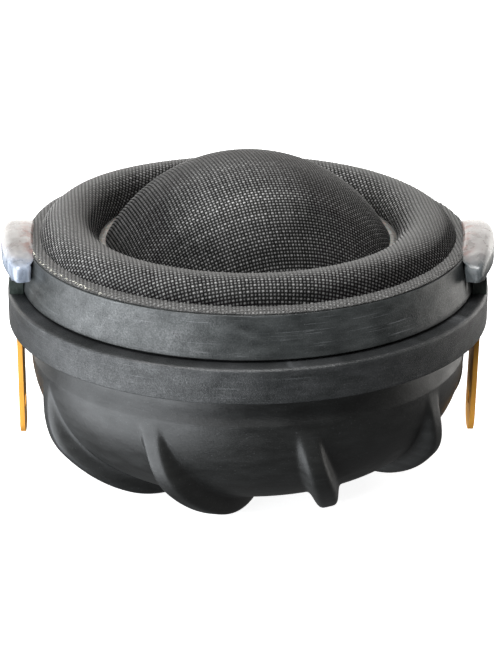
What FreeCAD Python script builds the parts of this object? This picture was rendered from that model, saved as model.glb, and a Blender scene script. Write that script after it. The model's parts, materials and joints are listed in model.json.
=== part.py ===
import FreeCAD, Part
import math
import os

import Sketcher
from FreeCAD import Placement, Rotation, Vector

# A soft-dome car tweeter. The frame's origin is on the axis at the chassis flange's rear
# seating face, +Z is the way the sound goes, and the terminals hang at +X and -X.
# Lengths are millimetres.

doc = FreeCAD.newDocument("tweeter")
sheet = doc.addObject("Spreadsheet::Sheet", "Sizes")

DRIVING_SIZES = (
    # chassis flange
    ("flange_radius", 23.5, "outside of the chassis flange"),
    ("flange_depth", 3.4, "flange, rear face to front face"),
    ("flange_edge_round", 0.4, "round on the flange's front edge"),
    ("fit_gap", 0.05, "clearance in glued and sliding fits"),
    ("loose_gap", 0.3, "clearance round felts, wadding and leads"),
    # diaphragm ring
    ("gasket_depth", 0.3, "gasket under the diaphragm ring"),
    ("gasket_radius", 21.5, "outside of that gasket"),
    ("gasket_width", 2.7, "radial width of that gasket"),
    ("ring_base_radius", 22.1, "diaphragm ring at its foot"),
    ("ring_top_radius", 21.5, "diaphragm ring at its top"),
    ("ring_height", 4.1, "diaphragm ring, foot to top"),
    ("ring_bore", 19.6, "bore of the ring's wall"),
    ("ring_floor_bore", 15.3, "bore of the ring's floor"),
    ("ring_floor_depth", 0.8, "thickness of the ring's floor"),
    ("lead_groove_width", 0.8, "groove in the ring's top for a lead"),
    ("lead_groove_depth", 0.65, "depth of that groove"),
    ("notch_radius", 0.4, "moulded notch in the ring's side"),
    ("notch_depth", 0.28, "depth of that notch"),
    ("notch_foot", 1.2, "notch's lower end above the ring's foot"),
    ("notch_length", 2.4, "length of that notch"),
    # surround and dome
    ("cloth_depth", 0.3, "thickness of the coated cloth"),
    ("rim_depth", 0.4, "thickness of the surround's glued rim"),
    ("rim_radius", 21.45, "outside of the surround's rim"),
    ("roll_foot_radius", 20.2, "where the roll rises from the rim"),
    ("roll_crest_radius", 17.4, "crest circle of the roll"),
    ("roll_rise", 1.95, "crest above the rim's top"),
    ("roll_inner_radius", 14.55, "inner wall of the roll"),
    ("dome_base_radius", 14.2, "dome at its base"),
    ("dome_base_height", 6.85, "dome's base above the flange's rear face"),
    ("dome_rise", 8.95, "dome, base to apex"),
    ("bead_height", 0.5, "adhesive bead round the dome's base"),
    ("bead_taper", 0.2, "how much the bead leans in with the dome"),
    ("bead_round", 0.6, "radius of the bead's face"),
    ("bead_gap", 0.02, "the bead's foot outside the dome's edge"),
    # voice coil and motor
    ("former_radius", 14.05, "outside of the coil former"),
    ("former_wall", 0.1, "wall of the coil former"),
    ("former_foot", 0.7, "lower edge of the former"),
    ("winding_depth", 0.4, "radial depth of the winding"),
    ("winding_height", 2.6, "axial height of the winding"),
    ("plate_radius", 13.6, "front pole plate"),
    ("plate_depth", 2.0, "thickness of the pole plate and gap height"),
    ("cap_depth", 0.12, "wall of the copper cap"),
    ("magnet_radius", 13.0, "neodymium magnet"),
    ("magnet_depth", 4.0, "thickness of the magnet"),
    ("magnet_bore", 3.2, "bore of the magnet"),
    ("vent_radius", 3.0, "vent through the steel"),
    ("pot_bore", 14.9, "bore of the steel pot"),
    ("pot_radius", 17.0, "outside of the steel pot"),
    ("pot_floor_depth", 2.5, "floor of the steel pot"),
    ("pot_rim_radius", 17.8, "rim that hangs the pot in the flange"),
    ("pot_rim_depth", 1.0, "thickness of that rim"),
    ("pole_felt_radius", 12.5, "felt disc on the pole"),
    ("pole_felt_depth", 1.4, "thickness of that disc"),
    ("ring_felt_depth", 1.4, "felt ring under the surround"),
    # rear cup
    ("collar_radius", 20.65, "collar under the flange"),
    ("collar_depth", 2.95, "flange to the widest part of the bowl"),
    ("collar_step", 0.3, "bowl's top ledge below the collar"),
    ("spigot_radius", 19.4, "spigot that enters the flange"),
    ("spigot_height", 1.2, "height of that spigot"),
    ("spigot_bore", 18.2, "bore of collar and spigot"),
    ("bowl_radius", 21.4, "widest radius of the bowl"),
    ("bowl_round", 11.0, "big round from the bowl's side to its base"),
    ("bowl_wall", 1.3, "wall of the bowl"),
    ("bowl_crown", 0.4, "dishing of the bowl's base"),
    ("fin_height", 1.8, "fin above the bowl"),
    ("fin_half_width", 1.1, "half width of a fin near its crest"),
    ("fin_root_depth", 0.8, "how deep a fin's root sits in the wall"),
    ("fin_end_depth", 0.25, "how deep a fin's ends run into the wall"),
    ("fin_lead_in", 0.4, "a fin starts this far before the bowl's widest circle"),
    ("fin_run_out", 1.5, "a fin ends this far short of where it has faded"),
    ("fin_rise_length", 7.0, "travel down the bowl over which a fin rises"),
    ("fin_fade_lead", 4.6, "a fin starts to fade this far before the round's end"),
    ("fin_fade_tail", 6.8, "a fin has faded this far past the round's end"),
    ("fin_turn_length", 10.0, "travel down the bowl over which a fin turns by FIN_TURN"),
    ("wadding_depth", 6.4, "depth of the wadding in the bowl"),
    # terminals
    ("tab_offset", 22.55, "tab's middle from the axis"),
    ("tab_depth", 0.5, "thickness of a terminal tab"),
    ("tab_top", 5.6, "tab's upper end"),
    ("tab_width_positive", 4.8, "width of the positive tab"),
    ("tab_width_negative", 2.8, "width of the negative tab"),
    ("tab_drop_positive", 12.6, "positive tab's end below the flange face"),
    ("tab_drop_negative", 13.0, "negative tab's end below the flange face"),
    ("tab_lean", 0.3, "how far the positive tab's end leans inwards"),
    ("tab_hole_radius", 0.7, "detent hole in a tab"),
    ("tab_hole_rise", 3.2, "detent hole above the tab's end"),
    ("guide_depth", 0.5, "thickness of the flange's guide rib behind a tab"),
    ("guide_half_width", 1.4, "half width of that rib"),
    ("guide_drop", 1.0, "how far that rib stands below the flange face"),
    ("block_outside", 23.0, "outer face of the terminal block"),
    ("block_inside", 21.2, "inner edge of the terminal block before it meets the ring"),
    ("block_depth", 1.7, "height of the terminal block"),
    ("block_half_length", 4.7, "half the block's length along Y"),
    ("glue_radius", 24.05, "outside of the adhesive cap"),
    ("glue_top", 9.0, "top of the adhesive cap"),
    ("glue_half_length", 5.0, "half the cap's length round the rim"),
    ("glue_shift", -0.9, "the cap's middle along Y"),
    ("lead_radius", 0.12, "lead wire"),
    ("solder_radius", 0.42, "solder joint's foot"),
    ("solder_tip_radius", 0.18, "solder joint's tip"),
    ("solder_height", 0.6, "solder joint's height"),
    ("lead_rise", 1.2, "straight start of a lead above the coil"),
    ("drop_half_height", 2.9, "half height of the drop that shapes an adhesive cap"),
    ("drop_half_depth", 2.9, "half depth of that drop along X"),
    ("drop_half_length", 5.25, "half length of that drop along Y"),
    ("drop_reach", 22.6, "middle of that drop from the axis"),
    ("drop_rise", 1.4, "middle of that drop above the block"),
)

for row, (alias, number, meaning) in enumerate(DRIVING_SIZES, start=1):
    sheet.set("A%d" % row, meaning)
    sheet.set("B%d" % row, str(number))
    sheet.setAlias("B%d" % row, alias)
doc.recompute()

# Counts and angles that aren't lengths.
FIN_COUNT = 9
FIRST_FIN_ANGLE = -65.2      # degrees round from -Y towards +X, at the collar
FIN_TURN = 9.9               # degrees that a fin swirls round over its turn length
FIN_TURN_POWER = 1.64        # 1 would be an even swirl, more tightens it towards the base
FIN_PROFILE = ((1.8, -1), (1.2, 0.25), (0.8, 0.85))   # share of half width, share of crest
FIN_ROOT_SHARE = 0.8         # width where a fin starts to rise, as a share of its full width
FIN_STATIONS = 11
FIN_LEAST_VOLUME = 55        # cubic millimetres that each fin adds to the cup
TAB_END_SHARE = 0.45         # round of a tab's end against its width
NOTCH_ANGLE = 72.0           # degrees round from -Y towards +X
CLOSE = 0.01                 # millimetres within which two places count as the same
LEAST_CUT = 0.001            # cubic millimetres that a pocket has to remove


# --- sizes that carry their own expression ------------------------------------------

class Size:
    """A length: its number, and the spreadsheet expression that gives it."""

    def __init__(self, value, text):
        self.value = value
        self.text = text

    def joined(self, sign, other, value):
        return Size(value, "(%s %s %s)" % (self.text, sign, as_size(other).text))

    def __add__(self, other):
        return self.joined("+", other, self.value + as_size(other).value)

    def __sub__(self, other):
        return self.joined("-", other, self.value - as_size(other).value)

    def __mul__(self, other):
        return self.joined("*", other, self.value * as_size(other).value)

    def __truediv__(self, other):
        return self.joined("/", other, self.value / as_size(other).value)

    def __neg__(self):
        return self * -1


def as_size(thing):
    """A Size as it is, or a plain number made into one."""
    if isinstance(thing, Size):
        return thing
    return Size(float(thing), "(%g)" % thing)


def size(alias):
    return Size(float(sheet.get(alias)), "Sizes." + alias)


def crown_radius(reach, rise):
    """Radius of an arc that is level at its crown and falls by rise over reach."""
    return (reach * reach + rise * rise) / (rise * 2)


# --- sketches and bodies ------------------------------------------------------------

def origin_plane(body, role):
    return [part for part in body.Origin.OriginFeatures if part.Role == role][0]


def new_body(label):
    body = doc.addObject("PartDesign::Body", label)
    body.Label = label
    return body


def new_sketch(body, name, role, lift=0):
    """A sketch on one of the body's own origin planes, lifted along its normal."""
    sketch = body.newObject("Sketcher::SketchObject", name)
    sketch.AttachmentSupport = [(origin_plane(body, role), "")]
    sketch.MapMode = "FlatFace"
    sketch.setExpression("AttachmentOffset.Base.z", as_size(lift).text)
    return sketch


def bind(sketch, kind, elements, length):
    """Add a dimension and drive it from the sheet."""
    index = sketch.addConstraint(Sketcher.Constraint(kind, *elements, length.value))
    sketch.setExpression("Constraints[%d]" % index, length.text)


def pin_point(sketch, element, x, y):
    """Fix one point of the sketch at x, y from the sketch's origin."""
    for kind, axis, place in (("DistanceX", -2, x), ("DistanceY", -1, y)):
        if as_size(place).value == 0:
            sketch.addConstraint(Sketcher.Constraint("PointOnObject", *element, axis))
        else:
            bind(sketch, kind, (-1, 1) + element, as_size(place))


def arc_centre(start, end, radius):
    """Centre of the smaller arc; a positive radius turns to the left."""
    middle = (start + end) * 0.5
    chord = end - start
    left = Vector(-chord.y, chord.x, 0).normalize()
    reach = math.sqrt(max(radius ** 2 - (chord.Length / 2) ** 2, 0))
    return middle + left * math.copysign(reach, radius)


def arc_between(start, end, radius):
    centre = arc_centre(start, end, radius)
    first, last = (start, end) if radius > 0 else (end, start)
    angles = [math.atan2(p.y - centre.y, p.x - centre.x) for p in (first, last)]
    circle = Part.Circle(centre, Vector(0, 0, 1), abs(radius))
    return Part.ArcOfCircle(circle, angles[0], angles[1])


def draw_path(sketch, corners, closed=True):
    """Join corners by lines, or by an arc where a corner carries the radius that leads to it."""
    count = len(corners)
    points = [Vector(as_size(c[0]).value, as_size(c[1]).value, 0) for c in corners]
    ends = []
    for step in range(count if closed else count - 1):
        start, end = points[step], points[(step + 1) % count]
        target = corners[(step + 1) % count]
        if len(target) == 3:
            radius = as_size(target[2])
            index = sketch.addGeometry(arc_between(start, end, radius.value))
            bind(sketch, "Radius", (index,), as_size(radius if radius.value > 0 else -radius))
            ends.append((index, 1, 2) if radius.value > 0 else (index, 2, 1))
        else:
            ends.append((sketch.addGeometry(Part.LineSegment(start, end)), 1, 2))
    for step, (index, first, last) in enumerate(ends):
        pin_point(sketch, (index, first), corners[step][0], corners[step][1])
        if closed or step + 1 < len(ends):
            following = ends[(step + 1) % len(ends)]
            sketch.addConstraint(Sketcher.Constraint("Coincident", index, last, *following[:2]))
        else:
            pin_point(sketch, (index, last), corners[-1][0], corners[-1][1])


def draw_circle(sketch, x, y, radius):
    place = Vector(as_size(x).value, as_size(y).value, 0)
    index = sketch.addGeometry(Part.Circle(place, Vector(0, 0, 1), radius.value))
    bind(sketch, "Radius", (index,), radius)
    pin_point(sketch, (index, 3), x, y)


def draw_rectangle(sketch, low_x, high_x, low_y, high_y):
    draw_path(sketch, [(low_x, low_y), (high_x, low_y), (high_x, high_y), (low_x, high_y)])


def turned(label, corners):
    """A body of revolution about Z from a closed outline of (radius, height) corners."""
    body = new_body(label)
    sketch = new_sketch(body, label + "_outline", "XZ_Plane")
    draw_path(sketch, corners)
    turn = body.newObject("PartDesign::Revolution", label + "_turn")
    turn.Profile = sketch
    turn.ReferenceAxis = (sketch, ["V_Axis"])
    turn.Angle = 360
    doc.recompute()
    return body


def tube(label, outer, inner, low, high):
    """A padded ring between two radii and two heights."""
    body = new_body(label)
    sketch = new_sketch(body, label + "_circles", "XY_Plane", low)
    draw_circle(sketch, 0, 0, outer)
    draw_circle(sketch, 0, 0, inner)
    pad = body.newObject("PartDesign::Pad", label + "_pad")
    pad.Profile = sketch
    pad.setExpression("Length", (high - low).text)
    doc.recompute()
    return body


def pocket(body, sketch, length, midplane=False, reverse=False):
    """Cut the sketch out of the body, and make sure that something was cut."""
    before = body.Shape.Volume
    cut = body.newObject("PartDesign::Pocket", sketch.Name + "_cut")
    cut.Profile = sketch
    cut.Midplane = midplane
    cut.Reversed = reverse
    cut.setExpression("Length", as_size(length).text)
    doc.recompute()
    if body.Shape.Volume > before - LEAST_CUT:
        raise ValueError(sketch.Name + " cuts nothing")


def round_edges(body, radius, wanted):
    """Fillet the edges of the body's tip that wanted() picks."""
    names = ["Edge%d" % (i + 1) for i, edge in enumerate(body.Shape.Edges) if wanted(edge)]
    if not names:
        raise ValueError(body.Label + " has no edge to round")
    base = body.Tip
    fillet = body.newObject("PartDesign::Fillet", body.Label + "_round")
    fillet.Base = (base, names)
    fillet.setExpression("Radius", radius.text)
    doc.recompute()


def is_circle(edge, radius, height):
    """True for a full circle about Z of that radius and height."""
    curve = edge.Curve
    if not isinstance(curve, Part.Circle):
        return False
    return abs(curve.Radius - radius) < CLOSE and abs(curve.Center.z - height) < CLOSE


def box(label, x, y, z, corner):
    """A Part box bound to the sheet, with its low corner at corner."""
    shape = doc.addObject("Part::Box", label)
    for name, length in (("Length", x), ("Width", y), ("Height", z)):
        shape.setExpression(name, as_size(length).text)
    for axis, place in zip("xyz", corner):
        shape.setExpression("Placement.Base." + axis, as_size(place).text)
    return shape


def combined(kind, label, base, tool):
    """A Part boolean of two objects: Part::Cut or Part::Common."""
    result = doc.addObject(kind, label)
    result.Label = label
    result.Base = base
    result.Tool = tool
    doc.recompute()
    return result


# --- heights shared by several pieces -------------------------------------------------

GAP = size("fit_gap")
FLANGE_TOP = size("flange_depth")
RING_FOOT = FLANGE_TOP + size("gasket_depth")
RING_TOP = RING_FOOT + size("ring_height")
RIM_TOP = RING_TOP + size("rim_depth")
RING_FLOOR_TOP = RING_FOOT + size("ring_floor_depth")
DOME_BASE = size("dome_base_height")
PLATE_FOOT = FLANGE_TOP - size("plate_depth")
MAGNET_FOOT = PLATE_FOOT - size("magnet_depth")
POLE_TOP = FLANGE_TOP + size("cap_depth")
CUP_SEAT = size("spigot_height") + size("gasket_depth")
RIM_FOOT = FLANGE_TOP - size("pot_rim_depth")
BOWL_TOP = -size("collar_depth")
BOWL_CENTRE_RADIUS = size("bowl_radius") - size("bowl_round")
BOWL_CENTRE_HEIGHT = BOWL_TOP - size("collar_step")
LOOSE = size("loose_gap")
THROUGH = size("flange_radius") * 3        # long enough to cut through everything


# --- housing ---------------------------------------------------------------------------

def chassis_flange():
    """The moulded flange: it holds the motor, the ring and the terminals."""
    radius = size("flange_radius")
    bore = size("pot_radius") + GAP
    rim_bore = size("pot_rim_radius") + GAP
    cup_bore = size("spigot_radius") + GAP
    body = turned("chassis_flange", [
        (cup_bore, 0),
        (radius, 0),
        (radius, FLANGE_TOP),
        (rim_bore, FLANGE_TOP),
        (rim_bore, RIM_FOOT),
        (bore, RIM_FOOT),
        (bore, CUP_SEAT),
        (cup_bore, CUP_SEAT),
    ])
    round_edges(body, size("flange_edge_round"),
                lambda edge: is_circle(edge, radius.value, FLANGE_TOP.value))
    rib_middle = size("tab_offset") - size("tab_depth") / 2 - size("guide_depth") / 2 - GAP
    for name, side in (("positive", 1), ("negative", -1)):
        rib = new_sketch(body, name + "_rib", "XY_Plane")
        half_rib = size("guide_depth") / 2
        draw_rectangle(rib, rib_middle * side - half_rib, rib_middle * side + half_rib,
                       -size("guide_half_width"), size("guide_half_width"))
        pad = body.newObject("PartDesign::Pad", name + "_rib_pad")
        pad.Profile = rib
        pad.Reversed = True
        pad.setExpression("Length", size("guide_drop").text)
        doc.recompute()
        slot = new_sketch(body, name + "_slot", "XY_Plane")
        half_depth = size("tab_depth") / 2 + GAP
        half_width = size("tab_width_" + name) / 2 + GAP
        middle = size("tab_offset") * side
        draw_rectangle(slot, middle - half_depth, middle + half_depth, -half_width, half_width)
        pocket(body, slot, FLANGE_TOP + GAP, reverse=True)
    return body


def diaphragm_ring():
    """The tapered ring that the surround is glued to, with a groove for each lead."""
    body = turned("diaphragm_ring", [
        (size("ring_floor_bore"), RING_FOOT),
        (size("ring_base_radius"), RING_FOOT),
        (size("ring_top_radius"), RING_TOP),
        (size("ring_bore"), RING_TOP),
        (size("ring_bore"), RING_FLOOR_TOP),
        (size("ring_floor_bore"), RING_FLOOR_TOP),
    ])
    groove = new_sketch(body, "lead_groove", "YZ_Plane")
    half = size("lead_groove_width") / 2
    draw_rectangle(groove, -half, half, RING_TOP - size("lead_groove_depth"), RING_TOP + GAP)
    pocket(body, groove, THROUGH, midplane=True)
    notch = new_sketch(body, "side_notch", "XY_Plane", RING_FOOT + size("notch_foot"))
    angle = math.radians(NOTCH_ANGLE)
    notch_reach = size("ring_base_radius") + size("notch_radius") - size("notch_depth")
    draw_circle(notch, notch_reach * math.sin(angle), notch_reach * -math.cos(angle),
                size("notch_radius"))
    pocket(body, notch, size("notch_length"), reverse=True)
    return body


def ring_gasket():
    """The thin gasket that shows as a dark seam under the ring."""
    outside = size("gasket_radius")
    return tube("ring_gasket", outside, outside - size("gasket_width"), FLANGE_TOP, RING_FOOT)


def cup_gasket():
    """The seal between the rear cup's spigot and the flange."""
    return tube("cup_gasket", size("spigot_radius") - GAP, size("pot_radius") + LOOSE,
                size("spigot_height"), CUP_SEAT)


def cup_shell():
    """The rear cup without its fins: spigot, collar and bowl."""
    outer_round = size("bowl_round")
    inner_round = outer_round - size("bowl_wall")
    side = size("bowl_radius")
    base = BOWL_CENTRE_HEIGHT - outer_round
    crown = size("bowl_crown")
    crown_arc = crown_radius(BOWL_CENTRE_RADIUS, crown)
    inner_base = base + size("bowl_wall")
    return turned("cup_shell", [
        (size("spigot_bore"), size("spigot_height")),
        (size("spigot_bore"), BOWL_TOP + size("bowl_wall")),
        (side - size("bowl_wall"), BOWL_CENTRE_HEIGHT),
        (BOWL_CENTRE_RADIUS, inner_base, -inner_round),
        (0, inner_base - crown, -crown_arc),
        (0, base - crown),
        (BOWL_CENTRE_RADIUS, base, crown_arc),
        (side, BOWL_CENTRE_HEIGHT, outer_round),
        (side, BOWL_TOP),
        (size("collar_radius"), BOWL_TOP + size("collar_step")),
        (size("collar_radius"), 0),
        (size("spigot_radius"), 0),
        (size("spigot_radius"), size("spigot_height")),
    ])


def smooth_ramp(x):
    """0 below 0, 1 above 1, and a smooth rise between."""
    x = min(max(x, 0.0), 1.0)
    return x * x * (3 - 2 * x)


def fin_section(travel, quarter):
    """A closed wire across a fin, travel millimetres along the bowl from its widest circle.

    quarter is the length of the bowl's round, and travel runs inwards along the base past it.
    """
    bend = size("bowl_round").value
    round_angle = min(travel, quarter) / bend
    radius = BOWL_CENTRE_RADIUS.value + bend * math.cos(round_angle) - max(travel - quarter, 0)
    height = BOWL_CENTRE_HEIGHT.value - bend * math.sin(round_angle)
    fade_lead, fade_tail = size("fin_fade_lead").value, size("fin_fade_tail").value
    share = smooth_ramp(travel / size("fin_rise_length").value)
    share *= 1 - smooth_ramp((travel - quarter + fade_lead) / (fade_lead + fade_tail))
    buried = size("fin_end_depth").value
    crest = (size("fin_height").value + buried) * share - buried
    half = size("fin_half_width").value * (FIN_ROOT_SHARE + (1 - FIN_ROOT_SHARE) * share)
    root = size("fin_root_depth").value
    turn_share = max(travel, 0) / size("fin_turn_length").value
    around = math.radians(FIN_TURN * turn_share ** FIN_TURN_POWER)
    outward = Vector(math.sin(around), -math.cos(around), 0)
    sideways = Vector(math.cos(around), math.sin(around), 0)
    normal = outward * math.cos(round_angle) + Vector(0, 0, -math.sin(round_angle))
    middle = outward * radius + Vector(0, 0, height)

    def place(across, up_share):
        up = -root if up_share < 0 else crest * up_share
        return middle + sideways * (half * across) + normal * up

    points = [place(-across, up_share) for across, up_share in FIN_PROFILE]
    points.append(place(0, 1))
    points += [place(across, up_share) for across, up_share in reversed(FIN_PROFILE)]
    crown = Part.BSplineCurve()
    crown.interpolate(points)
    return Part.Wire([crown.toShape(), Part.makeLine(points[-1], points[0])])


def cup_fins():
    """The swirling fins, each lofted along the bowl and turned to its place round it."""
    quarter = size("bowl_round").value * math.pi / 2
    first = -size("fin_lead_in").value
    last = quarter + size("fin_fade_tail").value - size("fin_run_out").value
    step = (last - first) / (FIN_STATIONS - 1)
    sections = [fin_section(first + step * index, quarter) for index in range(FIN_STATIONS)]
    loft = Part.makeLoft(sections, True)
    fins = []
    for index in range(FIN_COUNT):
        fin = doc.addObject("Part::Feature", "cup_fin_%d" % (index + 1))
        fin.Shape = loft
        angle = FIRST_FIN_ANGLE + 360.0 / FIN_COUNT * index
        fin.Placement = Placement(Vector(0, 0, 0), Rotation(Vector(0, 0, 1), angle))
        fins.append(fin)
    return fins


def rear_cup():
    """The moulded rear chamber with its fins, fused on one after another.

    Part's fuse features leave these lofted fins as separate solids, so this is a plain shape.
    """
    shell = cup_shell()
    fins = cup_fins()
    doc.recompute()
    shape = shell.Shape
    for fin in fins:
        shape = shape.fuse(fin.Shape)
    shape = shape.removeSplitter()
    if shape.Volume < shell.Shape.Volume + FIN_COUNT * FIN_LEAST_VOLUME:
        raise ValueError("a fin is missing from the rear cup")
    if len(shape.Solids) > 1:
        raise ValueError("a fin isn't joined to the rear cup")
    cup = doc.addObject("Part::Feature", "rear_cup")
    cup.Label = "rear_cup"
    cup.Shape = shape.Solids[0]
    return cup


def chamber_wadding():
    """Loose damping wadding in the rear chamber, as one plain solid."""
    wadding = doc.addObject("Part::Cone", "chamber_wadding")
    wadding.Label = "chamber_wadding"
    wadding.setExpression("Radius1", (BOWL_CENTRE_RADIUS + LOOSE).text)
    wadding.setExpression("Radius2", (size("pot_radius") - LOOSE).text)
    wadding.setExpression("Height", size("wadding_depth").text)
    foot = BOWL_CENTRE_HEIGHT - size("bowl_round") + size("bowl_wall") + LOOSE
    wadding.setExpression("Placement.Base.z", foot.text)
    doc.recompute()
    return wadding


# --- diaphragm -------------------------------------------------------------------------

def surround():
    """The cloth half roll, with a flat rim glued to the ring and a lip under the dome."""
    cloth = size("cloth_depth")
    crest = size("roll_crest_radius")
    crest_top = RIM_TOP + size("roll_rise")
    foot = size("roll_foot_radius")
    inner = size("roll_inner_radius")
    outer_arc = crown_radius(foot - crest, size("roll_rise"))
    inner_arc = crown_radius(crest - inner, crest_top - DOME_BASE)
    lip = size("former_radius") + GAP
    under_inner = inner + cloth
    under_inner_arc = crown_radius(crest - under_inner, crest_top - cloth - DOME_BASE)
    under_foot = foot - cloth
    under_outer_arc = crown_radius(under_foot - crest, crest_top - cloth - RING_TOP)
    return turned("surround", [
        (size("rim_radius"), RING_TOP),
        (size("rim_radius"), RIM_TOP),
        (foot, RIM_TOP),
        (crest, crest_top, outer_arc),
        (inner, DOME_BASE, inner_arc),
        (lip, DOME_BASE),
        (lip, DOME_BASE - cloth),
        (under_inner, DOME_BASE - cloth),
        (under_inner, DOME_BASE),
        (crest, crest_top - cloth, -under_inner_arc),
        (under_foot, RING_TOP, -under_outer_arc),
    ])


def dome():
    """The cloth dome, a spherical cap."""
    cloth = size("cloth_depth")
    base = size("dome_base_radius")
    rise = size("dome_rise")
    apex = DOME_BASE + rise
    return turned("dome", [
        (0, apex - cloth),
        (base - cloth, DOME_BASE, -crown_radius(base - cloth, rise - cloth)),
        (base, DOME_BASE),
        (0, apex, crown_radius(base, rise)),
    ])


def dome_bond_ring():
    """The bead of adhesive round the dome's base."""
    foot = size("dome_base_radius") + size("bead_gap")
    outside = size("roll_inner_radius") - GAP
    bead_top = DOME_BASE + size("bead_height")
    return turned("dome_bond_ring", [
        (foot, DOME_BASE),
        (outside, DOME_BASE),
        (foot - size("bead_taper"), bead_top, size("bead_round")),
    ])


def coil_former():
    """The thin tube that carries the winding."""
    outer = size("former_radius")
    return tube("coil_former", outer, outer - size("former_wall"), size("former_foot"), DOME_BASE)


def winding_foot():
    return PLATE_FOOT + size("plate_depth") / 2 - size("winding_height") / 2


def voice_coil():
    """The winding, centred on the magnetic gap."""
    inner = size("former_radius")
    foot = winding_foot()
    return tube("voice_coil", inner + size("winding_depth"), inner,
                foot, foot + size("winding_height"))


# --- motor -----------------------------------------------------------------------------

def top_plate():
    return tube("top_plate", size("plate_radius"), size("vent_radius"), PLATE_FOOT, FLANGE_TOP)


def magnet():
    return tube("magnet", size("magnet_radius"), size("magnet_bore"),
                MAGNET_FOOT, PLATE_FOOT)


def yoke():
    """The steel pot, hung in the flange by its rim."""
    floor = MAGNET_FOOT - size("pot_floor_depth")
    return turned("yoke", [
        (size("vent_radius"), floor),
        (size("pot_radius"), floor),
        (size("pot_radius"), RIM_FOOT),
        (size("pot_rim_radius"), RIM_FOOT),
        (size("pot_rim_radius"), FLANGE_TOP),
        (size("pot_bore"), FLANGE_TOP),
        (size("pot_bore"), MAGNET_FOOT),
        (size("vent_radius"), MAGNET_FOOT),
    ])


def copper_cap():
    """The copper cap over the pole plate."""
    inner = size("plate_radius")
    outer = inner + size("cap_depth")
    return turned("copper_cap", [
        (inner, PLATE_FOOT),
        (outer, PLATE_FOOT),
        (outer, POLE_TOP),
        (size("vent_radius"), POLE_TOP),
        (size("vent_radius"), FLANGE_TOP),
        (inner, FLANGE_TOP),
    ])


def pole_felt():
    """Felt on the pole, under the dome."""
    return tube("pole_felt", size("pole_felt_radius"), size("vent_radius") + LOOSE,
                POLE_TOP, POLE_TOP + size("pole_felt_depth"))


def surround_felt():
    """Felt on the ring's floor, under the surround."""
    return tube("surround_felt", size("ring_bore") - LOOSE, size("ring_floor_bore") + LOOSE,
                RING_FLOOR_TOP, RING_FLOOR_TOP + size("ring_felt_depth"))


# --- terminals and leads -----------------------------------------------------------------

def terminal(name, side, lean):
    """A flat tab through the flange; its lower end is rounded and has a detent hole."""
    label = "terminal_" + name
    body = new_body(label)
    strip = new_sketch(body, label + "_strip", "XZ_Plane")
    near = (size("tab_offset") - size("tab_depth") / 2) * side
    far = (size("tab_offset") + size("tab_depth") / 2) * side
    inward = lean * side
    end = -size("tab_drop_" + name)
    top = size("tab_top")
    draw_path(strip, [(near, 0), (near - inward, end), (far - inward, end), (far, 0),
                      (far, top), (near, top)])
    width = size("tab_width_" + name)
    pad = body.newObject("PartDesign::Pad", label + "_pad")
    pad.Profile = strip
    pad.Midplane = True
    pad.setExpression("Length", width.text)
    doc.recompute()

    def at_end(edge):
        box_of_edge = edge.BoundBox
        return abs(box_of_edge.ZMax - end.value) < CLOSE and box_of_edge.YLength < CLOSE

    round_edges(body, width * TAB_END_SHARE, at_end)
    hole = new_sketch(body, label + "_hole", "YZ_Plane")
    draw_circle(hole, 0, end + size("tab_hole_rise"), size("tab_hole_radius"))
    pocket(body, hole, THROUGH, midplane=True)
    return body


def terminal_block(name, side):
    """The insulating block on the flange, open round its tab and shaped to the ring."""
    label = "terminal_block_" + name
    half_length = size("block_half_length")
    inside = size("block_inside")
    outside = size("block_outside")
    low_x = inside if side > 0 else -outside
    brick = box(label + "_brick", outside - inside, half_length * 2, size("block_depth"),
                (low_x, -half_length, FLANGE_TOP))
    core = doc.addObject("Part::Cylinder", label + "_core")
    core.setExpression("Radius", (size("ring_base_radius") + GAP).text)
    core.setExpression("Height", RING_TOP.text)
    half_width = size("tab_width_" + name) / 2 + GAP
    slot_outside = size("tab_offset") + size("tab_depth") / 2 + GAP
    slot_low_x = inside if side > 0 else -slot_outside
    slot = box(label + "_slot", slot_outside - inside, half_width * 2, RING_TOP,
               (slot_low_x, -half_width, FLANGE_TOP - GAP))
    hollow = doc.addObject("Part::MultiFuse", label + "_hollow")
    hollow.Shapes = [core, slot]
    return combined("Part::Cut", label, brick, hollow)


def rim_sector(label, outer, low, high, half_length, side, shift):
    """The part of a ring outside the diaphragm ring that lies near one terminal."""
    inner = size("ring_base_radius") + GAP
    ring = tube(label + "_ring", outer, inner, low, high)
    low_x = as_size(0) if side > 0 else -outer
    window = box(label + "_window", outer, half_length * 2, high - low + GAP,
                 (low_x, shift - half_length, low))
    return combined("Part::Common", label + "_sector", ring, window)


def solder_cone(name, side):
    """The solder joint on a tab's upper end."""
    cone = doc.addObject("Part::Cone", "solder_" + name)
    cone.setExpression("Radius1", size("solder_radius").text)
    cone.setExpression("Radius2", size("solder_tip_radius").text)
    cone.setExpression("Height", size("solder_height").text)
    cone.setExpression("Placement.Base.x", (size("tab_offset") * side).text)
    cone.setExpression("Placement.Base.z", size("tab_top").text)
    return cone


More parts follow.
